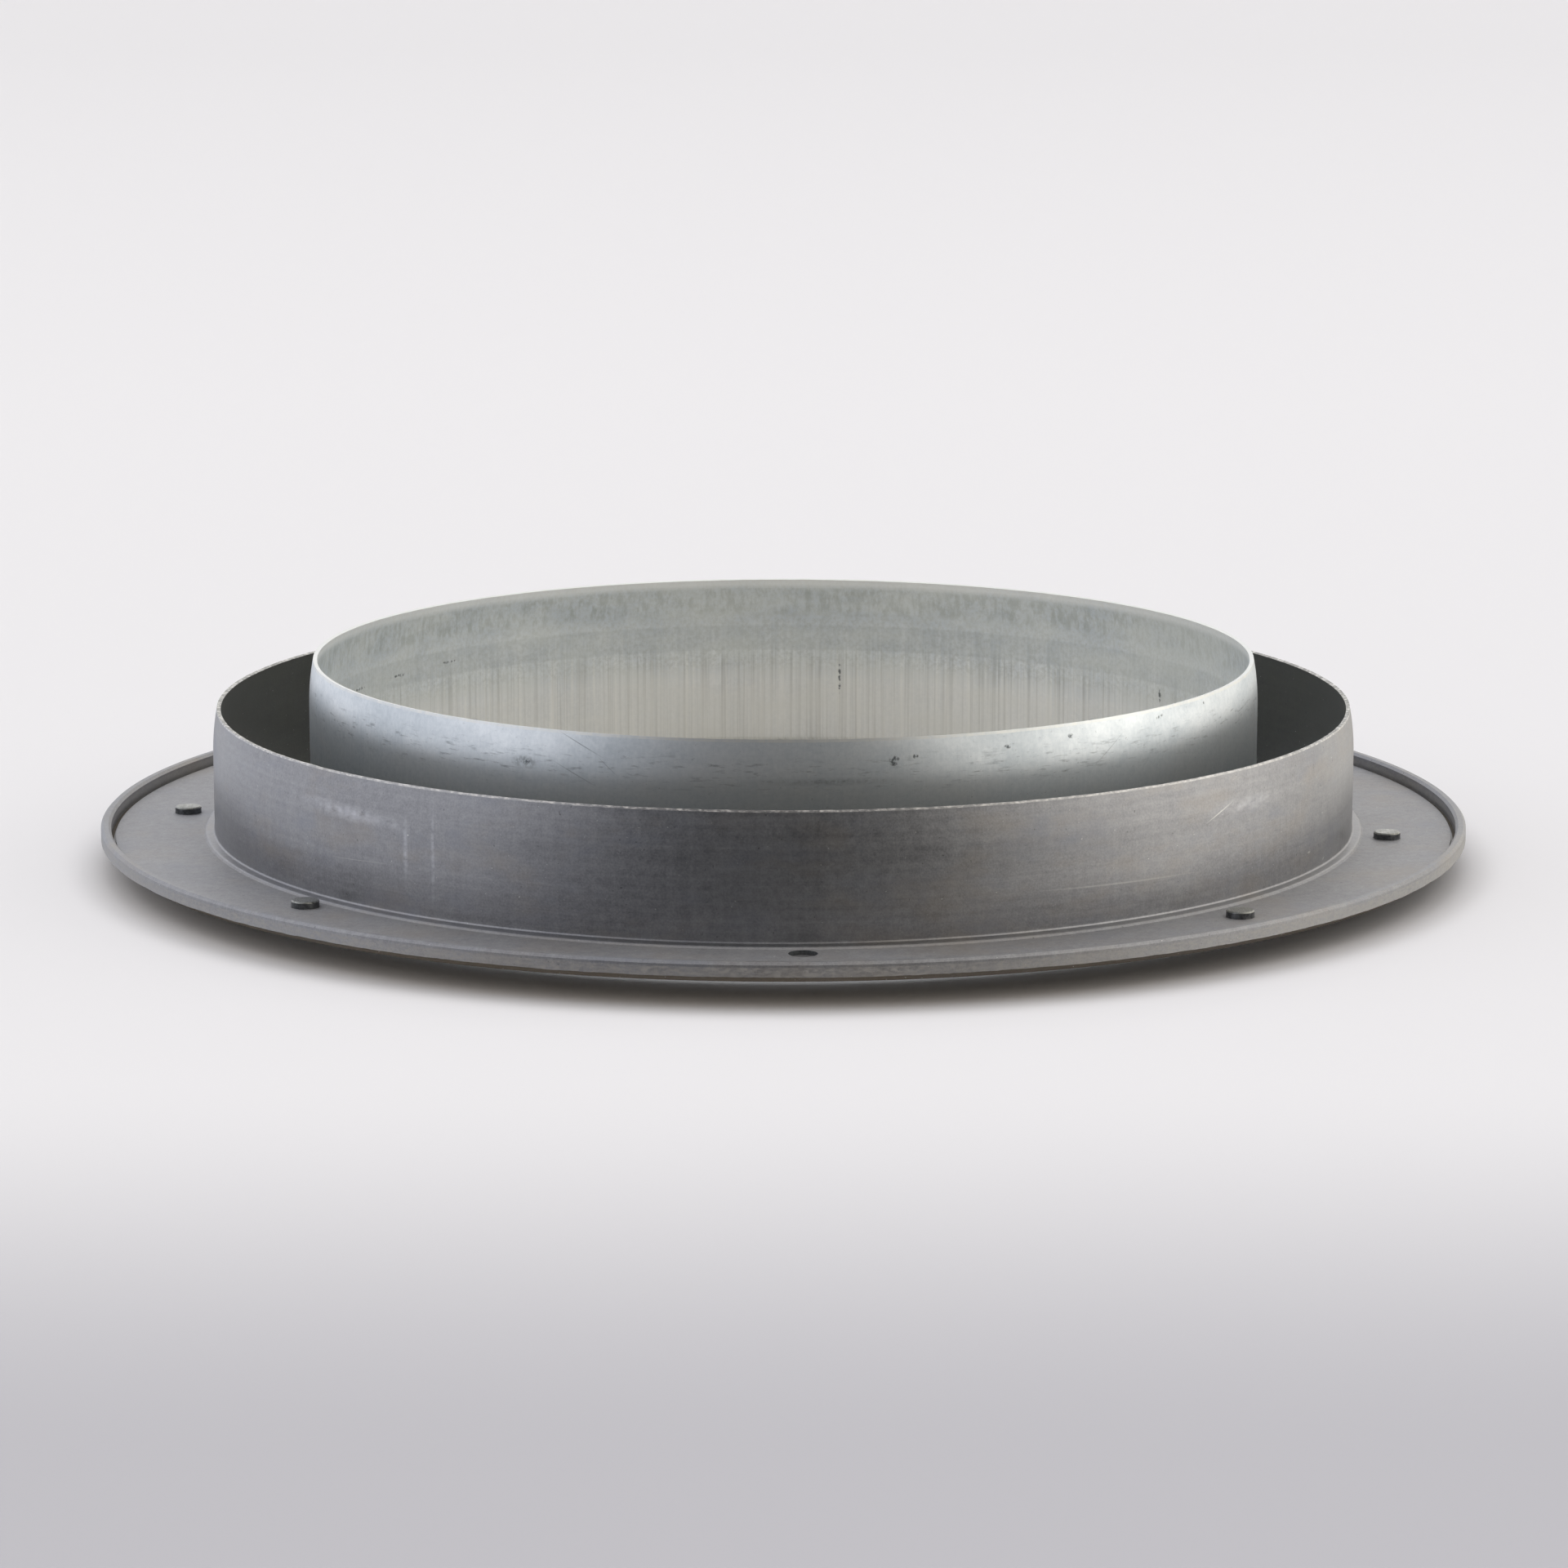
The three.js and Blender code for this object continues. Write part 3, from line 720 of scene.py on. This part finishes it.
def makeStuds():
    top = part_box("flange_stud_1")[1].z / mm
    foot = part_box("flange_stud_1")[0].z / mm
    steel = cutSteel(top)
    for number, (degrees, radius) in enumerate(studPlaces, 1):
        turn = math.radians(degrees)
        outline = bent([(0.001, foot, 0), (studRadius, foot, 0.1), (studRadius, top - stud["chamfer"], 0.12),
                        (studRadius - stud["chamfer"], top - stud["dome"], 0.12), (1.4, top, 3),
                        (0.001, top, 0)])
        mesh = turnedMesh("stud", outline, 56, centre=(radius * math.cos(turn), radius * math.sin(turn)))
        addPiece(f"flange_stud_{number}", mesh, [steel], "frame", 25)


makeStuds()
print("studs ready")


ringSheet = 0.9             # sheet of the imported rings; the visual collar is a little thinner
fitGap = 0.05
spacer = {
    "sheet": 1.0, "width": 12, "bend": 1.3,
    "coreGap": 0.4, "collarGap": 0.6,      # clear of the two rings
    "angles": (45, 135, 225, 315),
}
rivet = {"shank": 2.0, "head": 3.4, "headHeight": 1.0, "tail": 2.8, "tailHeight": 1.5, "mandrel": 0.9,
         "headGap": 0.2}


# a blind rivet along X: domed head with the sunk mandrel inside, shank, and the formed end outside
def rivetMesh(headFace, tailFace):
    look = rivet
    outline = bent([
        (0.001, headFace - 0.25, 0),
        (look["mandrel"], headFace - 0.25, 0.1),
        (look["mandrel"] + 0.15, headFace - look["headHeight"], 0.15),
        (2.0, headFace - look["headHeight"] + 0.08, 0.8),
        (look["head"], headFace - 0.3, 0.4),
        (look["head"], headFace, 0.08),
        (look["shank"], headFace, 0.1),
        (look["shank"], tailFace, 0.1),
        (look["tail"], tailFace, 0.3),
        (look["tail"], tailFace + 0.8, 0.7),
        (1.4, tailFace + look["tailHeight"], 0.4),
        (0.001, tailFace + look["tailHeight"], 0),
    ], 15)
    return turnedMesh("rivet", outline, 40)


def makeSpacers():
    look = spacer
    low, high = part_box("spacer_bracket_1")
    floor, top = low.z / mm, high.z / mm
    half = look["sheet"] / 2
    inner = coreRing["wallRadius"] + look["coreGap"] + half
    outer = collarPlate["wallRadius"] - ringSheet - look["collarGap"] - half
    line = [(inner, top, 0), (inner, floor + half, look["bend"]), (outer, floor + half, look["bend"]),
            (outer, top, 0)]
    outline = sheetOutline(bent(line), look["sheet"])
    strap = galvanisedSteel("galvanisedSteelStrap")
    steel = zincPlatedSteel("zincPlatedRivet", False)
    height = (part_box("spacer_rivet_1")[0].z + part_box("spacer_rivet_1")[1].z) / 2 / mm
    headFace = coreRing["wallRadius"] - ringSheet - rivet["headGap"]
    tailFace = coreRing["wallRadius"] + look["coreGap"] + look["sheet"] + fitGap
    for number, degrees in enumerate(look["angles"], 1):
        spin = Matrix.Rotation(math.radians(degrees), 4, "Z")
        hole = [(outwards(degrees, inner, 0, height), rivet["shank"] + fitGap, 1.5)]
        mesh = raisedMesh("strap", outline, -look["width"] / 2, look["width"] / 2, 0.12, spin @ standUp, hole)
        addPiece(f"spacer_bracket_{number}", mesh, [strap], "frame")
        mesh = rivetMesh(headFace, tailFace)
        mesh.transform(outwards(degrees, 0, 0, height))
        addPiece(f"spacer_rivet_{number}", mesh, [steel], "frame", 50)


makeSpacers()
print("spacers ready")


bridge = {
    "sheet": 1.2, "width": 20, "tabWidth": 17, "bend": 1.6,
    "lip": 5, "lipEnd": 95,          # the lips stop short of the tabs
    "screwHole": 4.3, "guideHole": 4.1, "guideOffset": 45, "rivetOffset": 5,
    "nutFlats": 13, "nutBore": 4.1,
}


def makeBridge():
    look = bridge
    low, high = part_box("bridge")
    reach, floor, tabTop = high.x / mm, low.z / mm, high.z / mm
    half = look["sheet"] / 2
    side = look["width"] / 2 - half
    lipTop = floor + look["lip"]
    guides, rivets = look["guideOffset"], look["rivetOffset"]
    tabLine = bent([(-reach + half, tabTop, 0), (-reach + half, floor + half, look["bend"]),
                    (reach - half, floor + half, look["bend"]), (reach - half, tabTop, 0)])
    strip = raisedMesh("bridge", sheetOutline(tabLine, look["sheet"]), -look["tabWidth"] / 2,
                       look["tabWidth"] / 2, 0, standUp)
    lipLine = bent([(-side, lipTop, 0), (-side, floor + half, look["bend"]),
                    (side, floor + half, look["bend"]), (side, lipTop, 0)])
    channel = raisedMesh("channel", sheetOutline(lipLine, look["sheet"]), -look["lipEnd"], look["lipEnd"], 0,
                         layAlong)
    mesh = combined(strip, channel, "UNION")
    height = (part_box("bridge_rivet_right_1")[0].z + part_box("bridge_rivet_right_1")[1].z) / 2 / mm
    holes = [(upright(0, 0, floor), look["screwHole"], 3)]
    holes += [(upright(at, 0, floor), look["guideHole"], 3) for at in (-guides, guides)]
    holes += [(outwards(turn, reach, at, height), rivet["shank"] + fitGap, 2)
              for turn in (0, 180) for at in (-rivets, rivets)]
    mesh = drilled(mesh, holes)
    strap = galvanisedSteel("galvanisedSteelBridge")
    piece = addPiece("bridge", mesh, [strap], "frame", 30)
    edges = piece.modifiers.new("edges", "BEVEL")
    edges.width, edges.segments = 0.12 * mm, 2
    edges.limit_method, edges.angle_limit = "ANGLE", math.radians(50)
    steel = zincPlatedSteel("zincPlatedBridgeRivet", False)
    for word, turn in (("right", 0), ("left", 180)):
        for number in (1, 2):
            mesh = rivetMesh(reach - look["sheet"] - fitGap, coreRing["wallRadius"] + fitGap)
            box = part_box(f"bridge_rivet_{word}_{number}")
            sideways = (box[0].y + box[1].y) / 2 / mm
            mesh.transform(outwards(turn, 0, sideways if turn == 0 else -sideways, height))
            addPiece(f"bridge_rivet_{word}_{number}", mesh, [steel], "frame", 50)


def makeBridgeNut():
    low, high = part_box("bridge_nut")
    floor, top = low.z / mm, high.z / mm
    corner = bridge["nutFlats"] / math.sqrt(3)
    turns = [math.radians(60 * i) for i in range(6)]
    hexagon = [(corner * math.cos(turn), corner * math.sin(turn)) for turn in turns]
    prism = raisedMesh("nut", hexagon, floor, top, 0)
    flat = bridge["nutFlats"] / 2 - 0.1
    cone = bent([(0.001, floor, 0), (flat, floor, 0), (corner + 0.6, floor + 1, 0),
                 (corner + 0.6, top - 1, 0), (flat, top, 0), (0.001, top, 0)])
    mesh = combined(prism, turnedMesh("cone", cone, 72), "INTERSECT")
    bore = threadMesh(bridge["nutBore"], 0.35, floor - 0.5, top + 0.5)
    addPiece("bridge_nut", combined(mesh, bore, "DIFFERENCE"), [zincPlatedSteel("zincPlatedNut", False)],
             "frame", 30)


# a rod with a real screw thread cut in it; depth is how deep the thread goes below the radius
def threadMesh(radius, depth, low, high, pitch=1.25, taper=0.0, steps=36, perPitch=10):
    shape = bmesh.new()
    levels = max(2, round((high - low) / pitch * perPitch))
    grid = []
    for k in range(levels + 1):
        z = low + (high - low) * k / levels
        ring = []
        for i in range(steps):
            turn = 2 * math.pi * i / steps
            phase = (z / pitch - i / steps) % 1
            groove = max(0, 1 - abs(phase - 0.5) * 2.3)
            r = radius - depth * groove - max(0, taper - (high - z)) * 0.8
            ring.append(shape.verts.new((r * math.cos(turn) * mm, r * math.sin(turn) * mm, z * mm)))
        grid.append(ring)
    for here, above in zip(grid, grid[1:]):
        for i in range(steps):
            n = (i + 1) % steps
            shape.faces.new((here[i], here[n], above[n], above[i]))
    shape.faces.new(grid[0][::-1])
    shape.faces.new(grid[-1])
    bmesh.ops.recalc_face_normals(shape, faces=shape.faces)
    return meshFrom(shape, "thread")


bush = {"bore": 2.62, "neck": 4, "flange": 5.6, "flangeHeight": 1, "above": 3}


def makeBushes():
    look = bush
    bore, neck, flange = look["bore"], look["neck"], look["flange"]
    nylon = naturalNylon()
    for word in ("left", "right"):
        low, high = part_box(f"guide_bush_{word}")
        at, floor, top = (low.x + high.x) / 2 / mm, low.z / mm, high.z / mm
        seat = top - look["above"]
        shoulder = seat + look["flangeHeight"]
        outline = bent([(bore, floor, 0.2), (neck, floor, 0.4), (neck, seat, 0.1), (flange, seat, 0.2),
                        (flange, shoulder, 0.3), (neck, shoulder + 0.1, 0.5), (neck - 0.3, top, 0.4),
                        (bore, top, 0.3)], 15)
        outline = outline[1:-1] + [(bore, top - 0.3), (bore, floor + 0.3)]
        mesh = turnedMesh("bush", outline, 56, centre=(at, 0))
        addPiece(f"guide_bush_{word}", mesh, [nylon], "frame", 40)


makeBridge()
makeBridgeNut()
makeBushes()
print("bridge ready")


faceDisc = {"sheet": 0.9, "hole": 4.3, "plateauRadius": 14, "plateauRise": 3, "beadRadius": 94,
            "beadRise": 1, "lipTop": 3.2, "lipBend": 1.7}


def makeFaceDisc():
    look = faceDisc
    disc = measure("face_disc")
    half = look["sheet"] / 2
    bead = look["beadRadius"]
    line = [
        (look["hole"], look["plateauRise"] + half, 0),
        (look["plateauRadius"] + 0.2, look["plateauRise"] + half, 1.5),
        (look["plateauRadius"] + 4.2, half, 1.5),
        (bead - 4, half, 1.5),
        (bead - 2, look["beadRise"] + half, 1.5),
        (bead + 2, look["beadRise"] + half, 1.5),
        (bead + 4, half, 1.5),
        (disc["radius"] - half, half, look["lipBend"]),
        (disc["radius"] - half, look["lipTop"], 0),
    ]
    mesh = turnedMesh("face_disc_sheet", sheetOutline(bent(line, 10), look["sheet"]), 480)
    addPiece("face_disc", mesh, [galvanisedSteel("galvanisedSteelDisc", True)], "disc")


pin = {"radius": 2.5, "foot": 4.5, "footHeight": 0.8, "tip": 1.7}


def makePins():
    look = pin
    steel = zincPlatedSteel("zincPlatedPin")
    for word in ("left", "right"):
        low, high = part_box(f"guide_pin_{word}")
        at, foot, top = (low.x + high.x) / 2 / mm, low.z / mm, high.z / mm
        step = foot + look["footHeight"]
        outline = bent([(0.001, foot, 0), (look["foot"], foot, 0.1), (look["foot"], step, 0.3),
                        (look["radius"], step + 0.05, 0.35), (look["radius"], top - 0.8, 0.3),
                        (look["tip"], top, 0.3), (0.001, top, 0)], 15)
        mesh = turnedMesh("pin", outline, 48, centre=(at, 0))
        addPiece(f"guide_pin_{word}", mesh, [steel], "disc", 40)


makeFaceDisc()
makePins()
print("disc ready")


screw = {"radius": 4, "headRadius": 7, "headTop": 2.7, "slot": 1.6, "slotDepth": 1.1, "core": 3.3,
         "threadFrom": 6.4, "threadDepth": 0.62}
washer = {"hole": 4.35}
clip = {"openFrom": 38, "sweep": 284, "inner": 4.9,
        "teeth": (50, 180, 310), "toothRadius": 3.45, "toothHalf": 14}


def makeScrew():
    look = screw
    low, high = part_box("centre_screw")
    floor, top = low.z / mm, high.z / mm
    groove = measure("retaining_clip")
    headTop = look["headTop"]
    outline = bent([
        (0.001, floor, 0), (look["headRadius"] - 0.5, floor, 0.5), (look["headRadius"], floor + 0.9, 0.4),
        (look["headRadius"], headTop, 0.15), (look["radius"], headTop, 0.15),
        (look["radius"], groove["low"] - fitGap, 0.05), (look["core"], groove["low"] - fitGap, 0),
        (look["core"], groove["high"] + fitGap, 0), (look["radius"] - 0.1, groove["high"] + fitGap, 0.05),
        (look["radius"] - 0.1, look["threadFrom"], 0), (0.001, look["threadFrom"], 0),
    ], 15)
    head = turnedMesh("head", outline, 72)
    length = 2 * look["headRadius"] + 2
    slotOutline = [(-length / 2, -look["slot"] / 2), (length / 2, -look["slot"] / 2),
                   (length / 2, look["slot"] / 2), (-length / 2, look["slot"] / 2)]
    slotTool = raisedMesh("slot", slotOutline, floor - 1, floor + look["slotDepth"], 0)
    head = combined(head, slotTool, "DIFFERENCE")
    rod = threadMesh(look["radius"], look["threadDepth"], look["threadFrom"] - 0.05, top, taper=0.8)
    mesh = combined(head, rod, "UNION")
    addPiece("centre_screw", mesh, [zincPlatedSteel("zincPlatedScrew")], "screw", 35)


def makeWasher():
    low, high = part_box("screw_washer")
    floor, top, reach = low.z / mm, high.z / mm, high.x / mm
    hole = washer["hole"]
    outline = [(hole, floor + 0.1), (hole + 0.1, floor), (reach - 0.1, floor), (reach, floor + 0.12),
               (reach, top - 0.25), (reach - 0.25, top), (hole + 0.1, top), (hole, top - 0.1)]
    mesh = turnedMesh("washer", outline, 72)
    steel = zincPlatedSteel("zincPlatedWasher", False)
    addPiece("screw_washer", mesh, [steel], "disc", 40)


# an E-clip: a round back with three inner teeth, open to one side
def makeClip():
    low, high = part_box("retaining_clip")
    floor, top, reach = low.z / mm, high.z / mm, high.y / mm
    first, sweep = clip["openFrom"], clip["sweep"]
    outline = [(reach * math.cos(a), reach * math.sin(a)) for a in
               [math.radians(first + sweep * i / 60) for i in range(61)]]
    for i in range(81):
        turn = math.radians(first + sweep - sweep * i / 80)
        away = min(abs((math.degrees(turn) - t + 180) % 360 - 180) for t in clip["teeth"])
        r = clip["toothRadius"] if away < clip["toothHalf"] else clip["inner"]
        outline.append((r * math.cos(turn), r * math.sin(turn)))
    mesh = raisedMesh("clip", outline, floor, top, 0.08)
    steel = zincPlatedSteel("zincPlatedClip", False)
    addPiece("retaining_clip", mesh, [steel], "screw", 40)


makeScrew()
makeWasher()
makeClip()
print("screw ready")


studio = {
    "paper": "#EDECEE", "paperFront": "#C1C0C5", "paperFar": "#E6E5E7",
    "fade": (-0.20, -0.42),      # metres in front, where the paper falls off into shade
    "farFade": (0.8, 3.0),       # metres behind, where it falls off a little into painted shade
    "backdrop": 0.81,            # strength of the dome where the camera sees past the paper
    "left": 1.08, "right": 1.3,  # strength at the two sides, in reflections
    "panel": 0.5,                # added for a lamp panel at the far right
    "dim": 0.11,                 # the room in front
    "darkFrom": 0.42, "darkTo": 0.93,     # where the room starts and is darkest, 1 being straight in front
    "darkLean": 0.1, "darkRise": 0.24,    # how much later it starts at the right, and higher up
    "top": 0.45, "below": 0.15,  # straight up and straight down
    "tableShade": 0.03,          # low behind, where the table's own shade would be mirrored
    "cool": "#F6F8FF", "warm": "#FFFBF3",
    # name, strength, width in degrees, direction of travel, colour
    "lamps": [
        ("overhead", 0.88, 95, (0, -0.1, -1), "#FBFCFF"),
        ("back", 0.9, 50, (0, -0.6, -0.8), "#FBFCFF"),
        ("left", 1.05, 65, (0.82, -0.1, -0.56), "#FBFCFF"),
        ("right", 1.05, 65, (-0.82, -0.1, -0.56), "#FFFDFA"),
        ("room", 0.95, 70, (0.1, 0.9, -0.42), "#FFF3E4"),
    ],
}


def makeFloor():
    look = studio
    shape = bmesh.new()
    bmesh.ops.create_grid(shape, x_segments=40, y_segments=40, size=12)
    mesh = meshFrom(shape, "paper")
    paper = bpy.data.objects.new("paper_floor", mesh)
    bpy.context.collection.objects.link(paper)
    material = bpy.data.materials.new("mattPaper")
    material.use_nodes = True
    tree = material.node_tree
    place = addNode(tree, "TexCoord", out="Object")
    y = addNode(tree, "SeparateXYZ", {0: place}, out="Y")
    start, end = look["fade"]
    front = addNode(tree, "MapRange", {"Value": y, "From Min": start, "From Max": end},
                    interpolation_type="SMOOTHSTEP")
    colour = addNode(tree, "Mix", {0: front, 6: linear(look["paper"]), 7: linear(look["paperFront"])},
                     data_type="RGBA")
    start, end = look["farFade"]
    back = addNode(tree, "MapRange", {"Value": y, "From Min": start, "From Max": end})
    colour = addNode(tree, "Mix", {0: back, 6: colour, 7: linear(look["paperFar"])}, data_type="RGBA")
    surface = tree.nodes["Principled BSDF"]
    tree.links.new(colour, surface.inputs["Base Color"])
    surface.inputs["Roughness"].default_value = 0.9
    surface.inputs["Specular IOR Level"].default_value = 0.1
    mesh.materials.append(material)
    paper.visible_glossy = False     # the steel mirrors the dome alone, as if the paper ended at the front


# a studio dome: bright behind and at the sides, dimmer above, dark towards the room in front
def makeLight():
    look = studio
    world = bpy.data.worlds.new("studio")
    bpy.context.scene.world = world
    world.use_nodes = True
    tree = world.node_tree
    aim = addNode(tree, "TexCoord", out="Generated")
    flat = addNode(tree, "VectorMath", {0: aim, 1: (1, 1, 0)}, operation="MULTIPLY")
    flat = addNode(tree, "VectorMath", {0: flat}, operation="NORMALIZE")
    front = addNode(tree, "VectorMath", {0: flat, 1: (0, -1, 0)}, out="Value", operation="DOT_PRODUCT")
    right = addNode(tree, "SeparateXYZ", {0: flat}, out="X")
    height = addNode(tree, "SeparateXYZ", {0: aim}, out="Z")
    side = addNode(tree, "MapRange", {"Value": right, "From Min": -1, "From Max": 1,
                                      "To Min": look["left"], "To Max": look["right"]})
    rise = addNode(tree, "MapRange", {"Value": height, "From Min": -0.1, "From Max": 0.25,
                                       "To Max": look["darkRise"]})
    darkFrom = addNode(tree, "MapRange", {"Value": right, "From Min": 0, "From Max": 0.6,
                                          "To Min": look["darkFrom"],
                                          "To Max": look["darkFrom"] + look["darkLean"]})
    darkFrom = addNode(tree, "Math", {0: darkFrom, 1: rise}, operation="ADD")     # narrower higher up
    dark = addNode(tree, "MapRange", {"Value": front, "From Min": darkFrom, "From Max": look["darkTo"]},
                   interpolation_type="SMOOTHSTEP")
    panel = addNode(tree, "MapRange", {"Value": right, "From Min": 0.88, "From Max": 1.0,
                                       "To Max": look["panel"]}, interpolation_type="SMOOTHSTEP")
    side = addNode(tree, "Math", {0: side, 1: panel}, operation="ADD")
    low = addNode(tree, "Mix", {0: dark, 2: side, 3: look["dim"]}, data_type="FLOAT")
    over = addNode(tree, "MapRange", {"Value": height, "From Min": 0.75, "From Max": 1.0},
                   interpolation_type="SMOOTHSTEP")
    level = addNode(tree, "Mix", {0: over, 2: low, 3: look["top"]}, data_type="FLOAT")
    under = addNode(tree, "MapRange", {"Value": height, "From Min": -0.15, "From Max": -0.5},
                    interpolation_type="SMOOTHSTEP")
    behind = addNode(tree, "MapRange", {"Value": front, "From Min": -0.9, "From Max": -0.97})
    hidden = addNode(tree, "MapRange", {"Value": height, "From Min": -0.02, "From Max": -0.1})
    hidden = addNode(tree, "Math", {0: behind, 1: hidden}, operation="MULTIPLY")
    level = addNode(tree, "Mix", {0: under, 2: level, 3: look["below"]}, data_type="FLOAT")
    level = addNode(tree, "Mix", {0: hidden, 2: level, 3: look["tableShade"]}, data_type="FLOAT")
    seen = addNode(tree, "LightPath", out="Is Camera Ray")
    level = addNode(tree, "Mix", {0: seen, 2: level, 3: look["backdrop"]}, data_type="FLOAT")
    tree.links.new(level, tree.nodes["Background"].inputs["Strength"])
    across = addNode(tree, "MapRange", {"Value": right, "From Min": -0.6, "From Max": 0.6})
    tint = addNode(tree, "Mix", {0: across, 6: linear(look["cool"]), 7: linear(look["warm"])},
                   data_type="RGBA")
    tint = addNode(tree, "Mix", {0: seen, 6: tint, 7: (0.99, 0.99, 1.0, 1)}, data_type="RGBA")
    tree.links.new(tint, tree.nodes["Background"].inputs["Color"])
    world.cycles_visibility.diffuse = False      # the dome is for reflections, the lamps light the paper
    for name, power, width, travel, shade in look["lamps"]:
        lamp = bpy.data.lights.new(name, "SUN")
        lamp.energy, lamp.angle = power, math.radians(width)
        lamp.color = linear(shade)[:3]
        holder = bpy.data.objects.new(name, lamp)
        bpy.context.collection.objects.link(holder)
        holder.rotation_euler = Vector(travel).to_track_quat("-Z", "Y").to_euler()
        holder.visible_glossy = False


view = {"lens": 120.96, "distance": 1.1672, "elevation": 11.53, "shift": (0.0004, 0.0153)}


def makeCamera():
    cam = bpy.data.cameras.new("camera")
    cam.lens, cam.sensor_width = view["lens"], 36
    cam.shift_x, cam.shift_y = view["shift"]
    holder = bpy.data.objects.new("camera", cam)
    bpy.context.collection.objects.link(holder)
    lift = math.radians(view["elevation"])
    target = Vector((0, 0, rim["high"] * mm))
    holder.location = target + Vector((0, -math.cos(lift), math.sin(lift))) * view["distance"]
    holder.rotation_euler = (math.pi / 2 - lift, 0, 0)
    bpy.context.scene.camera = holder


makeFloor()
makeLight()
makeCamera()
bpy.context.scene.view_settings.view_transform = "Standard"
print("studio ready")
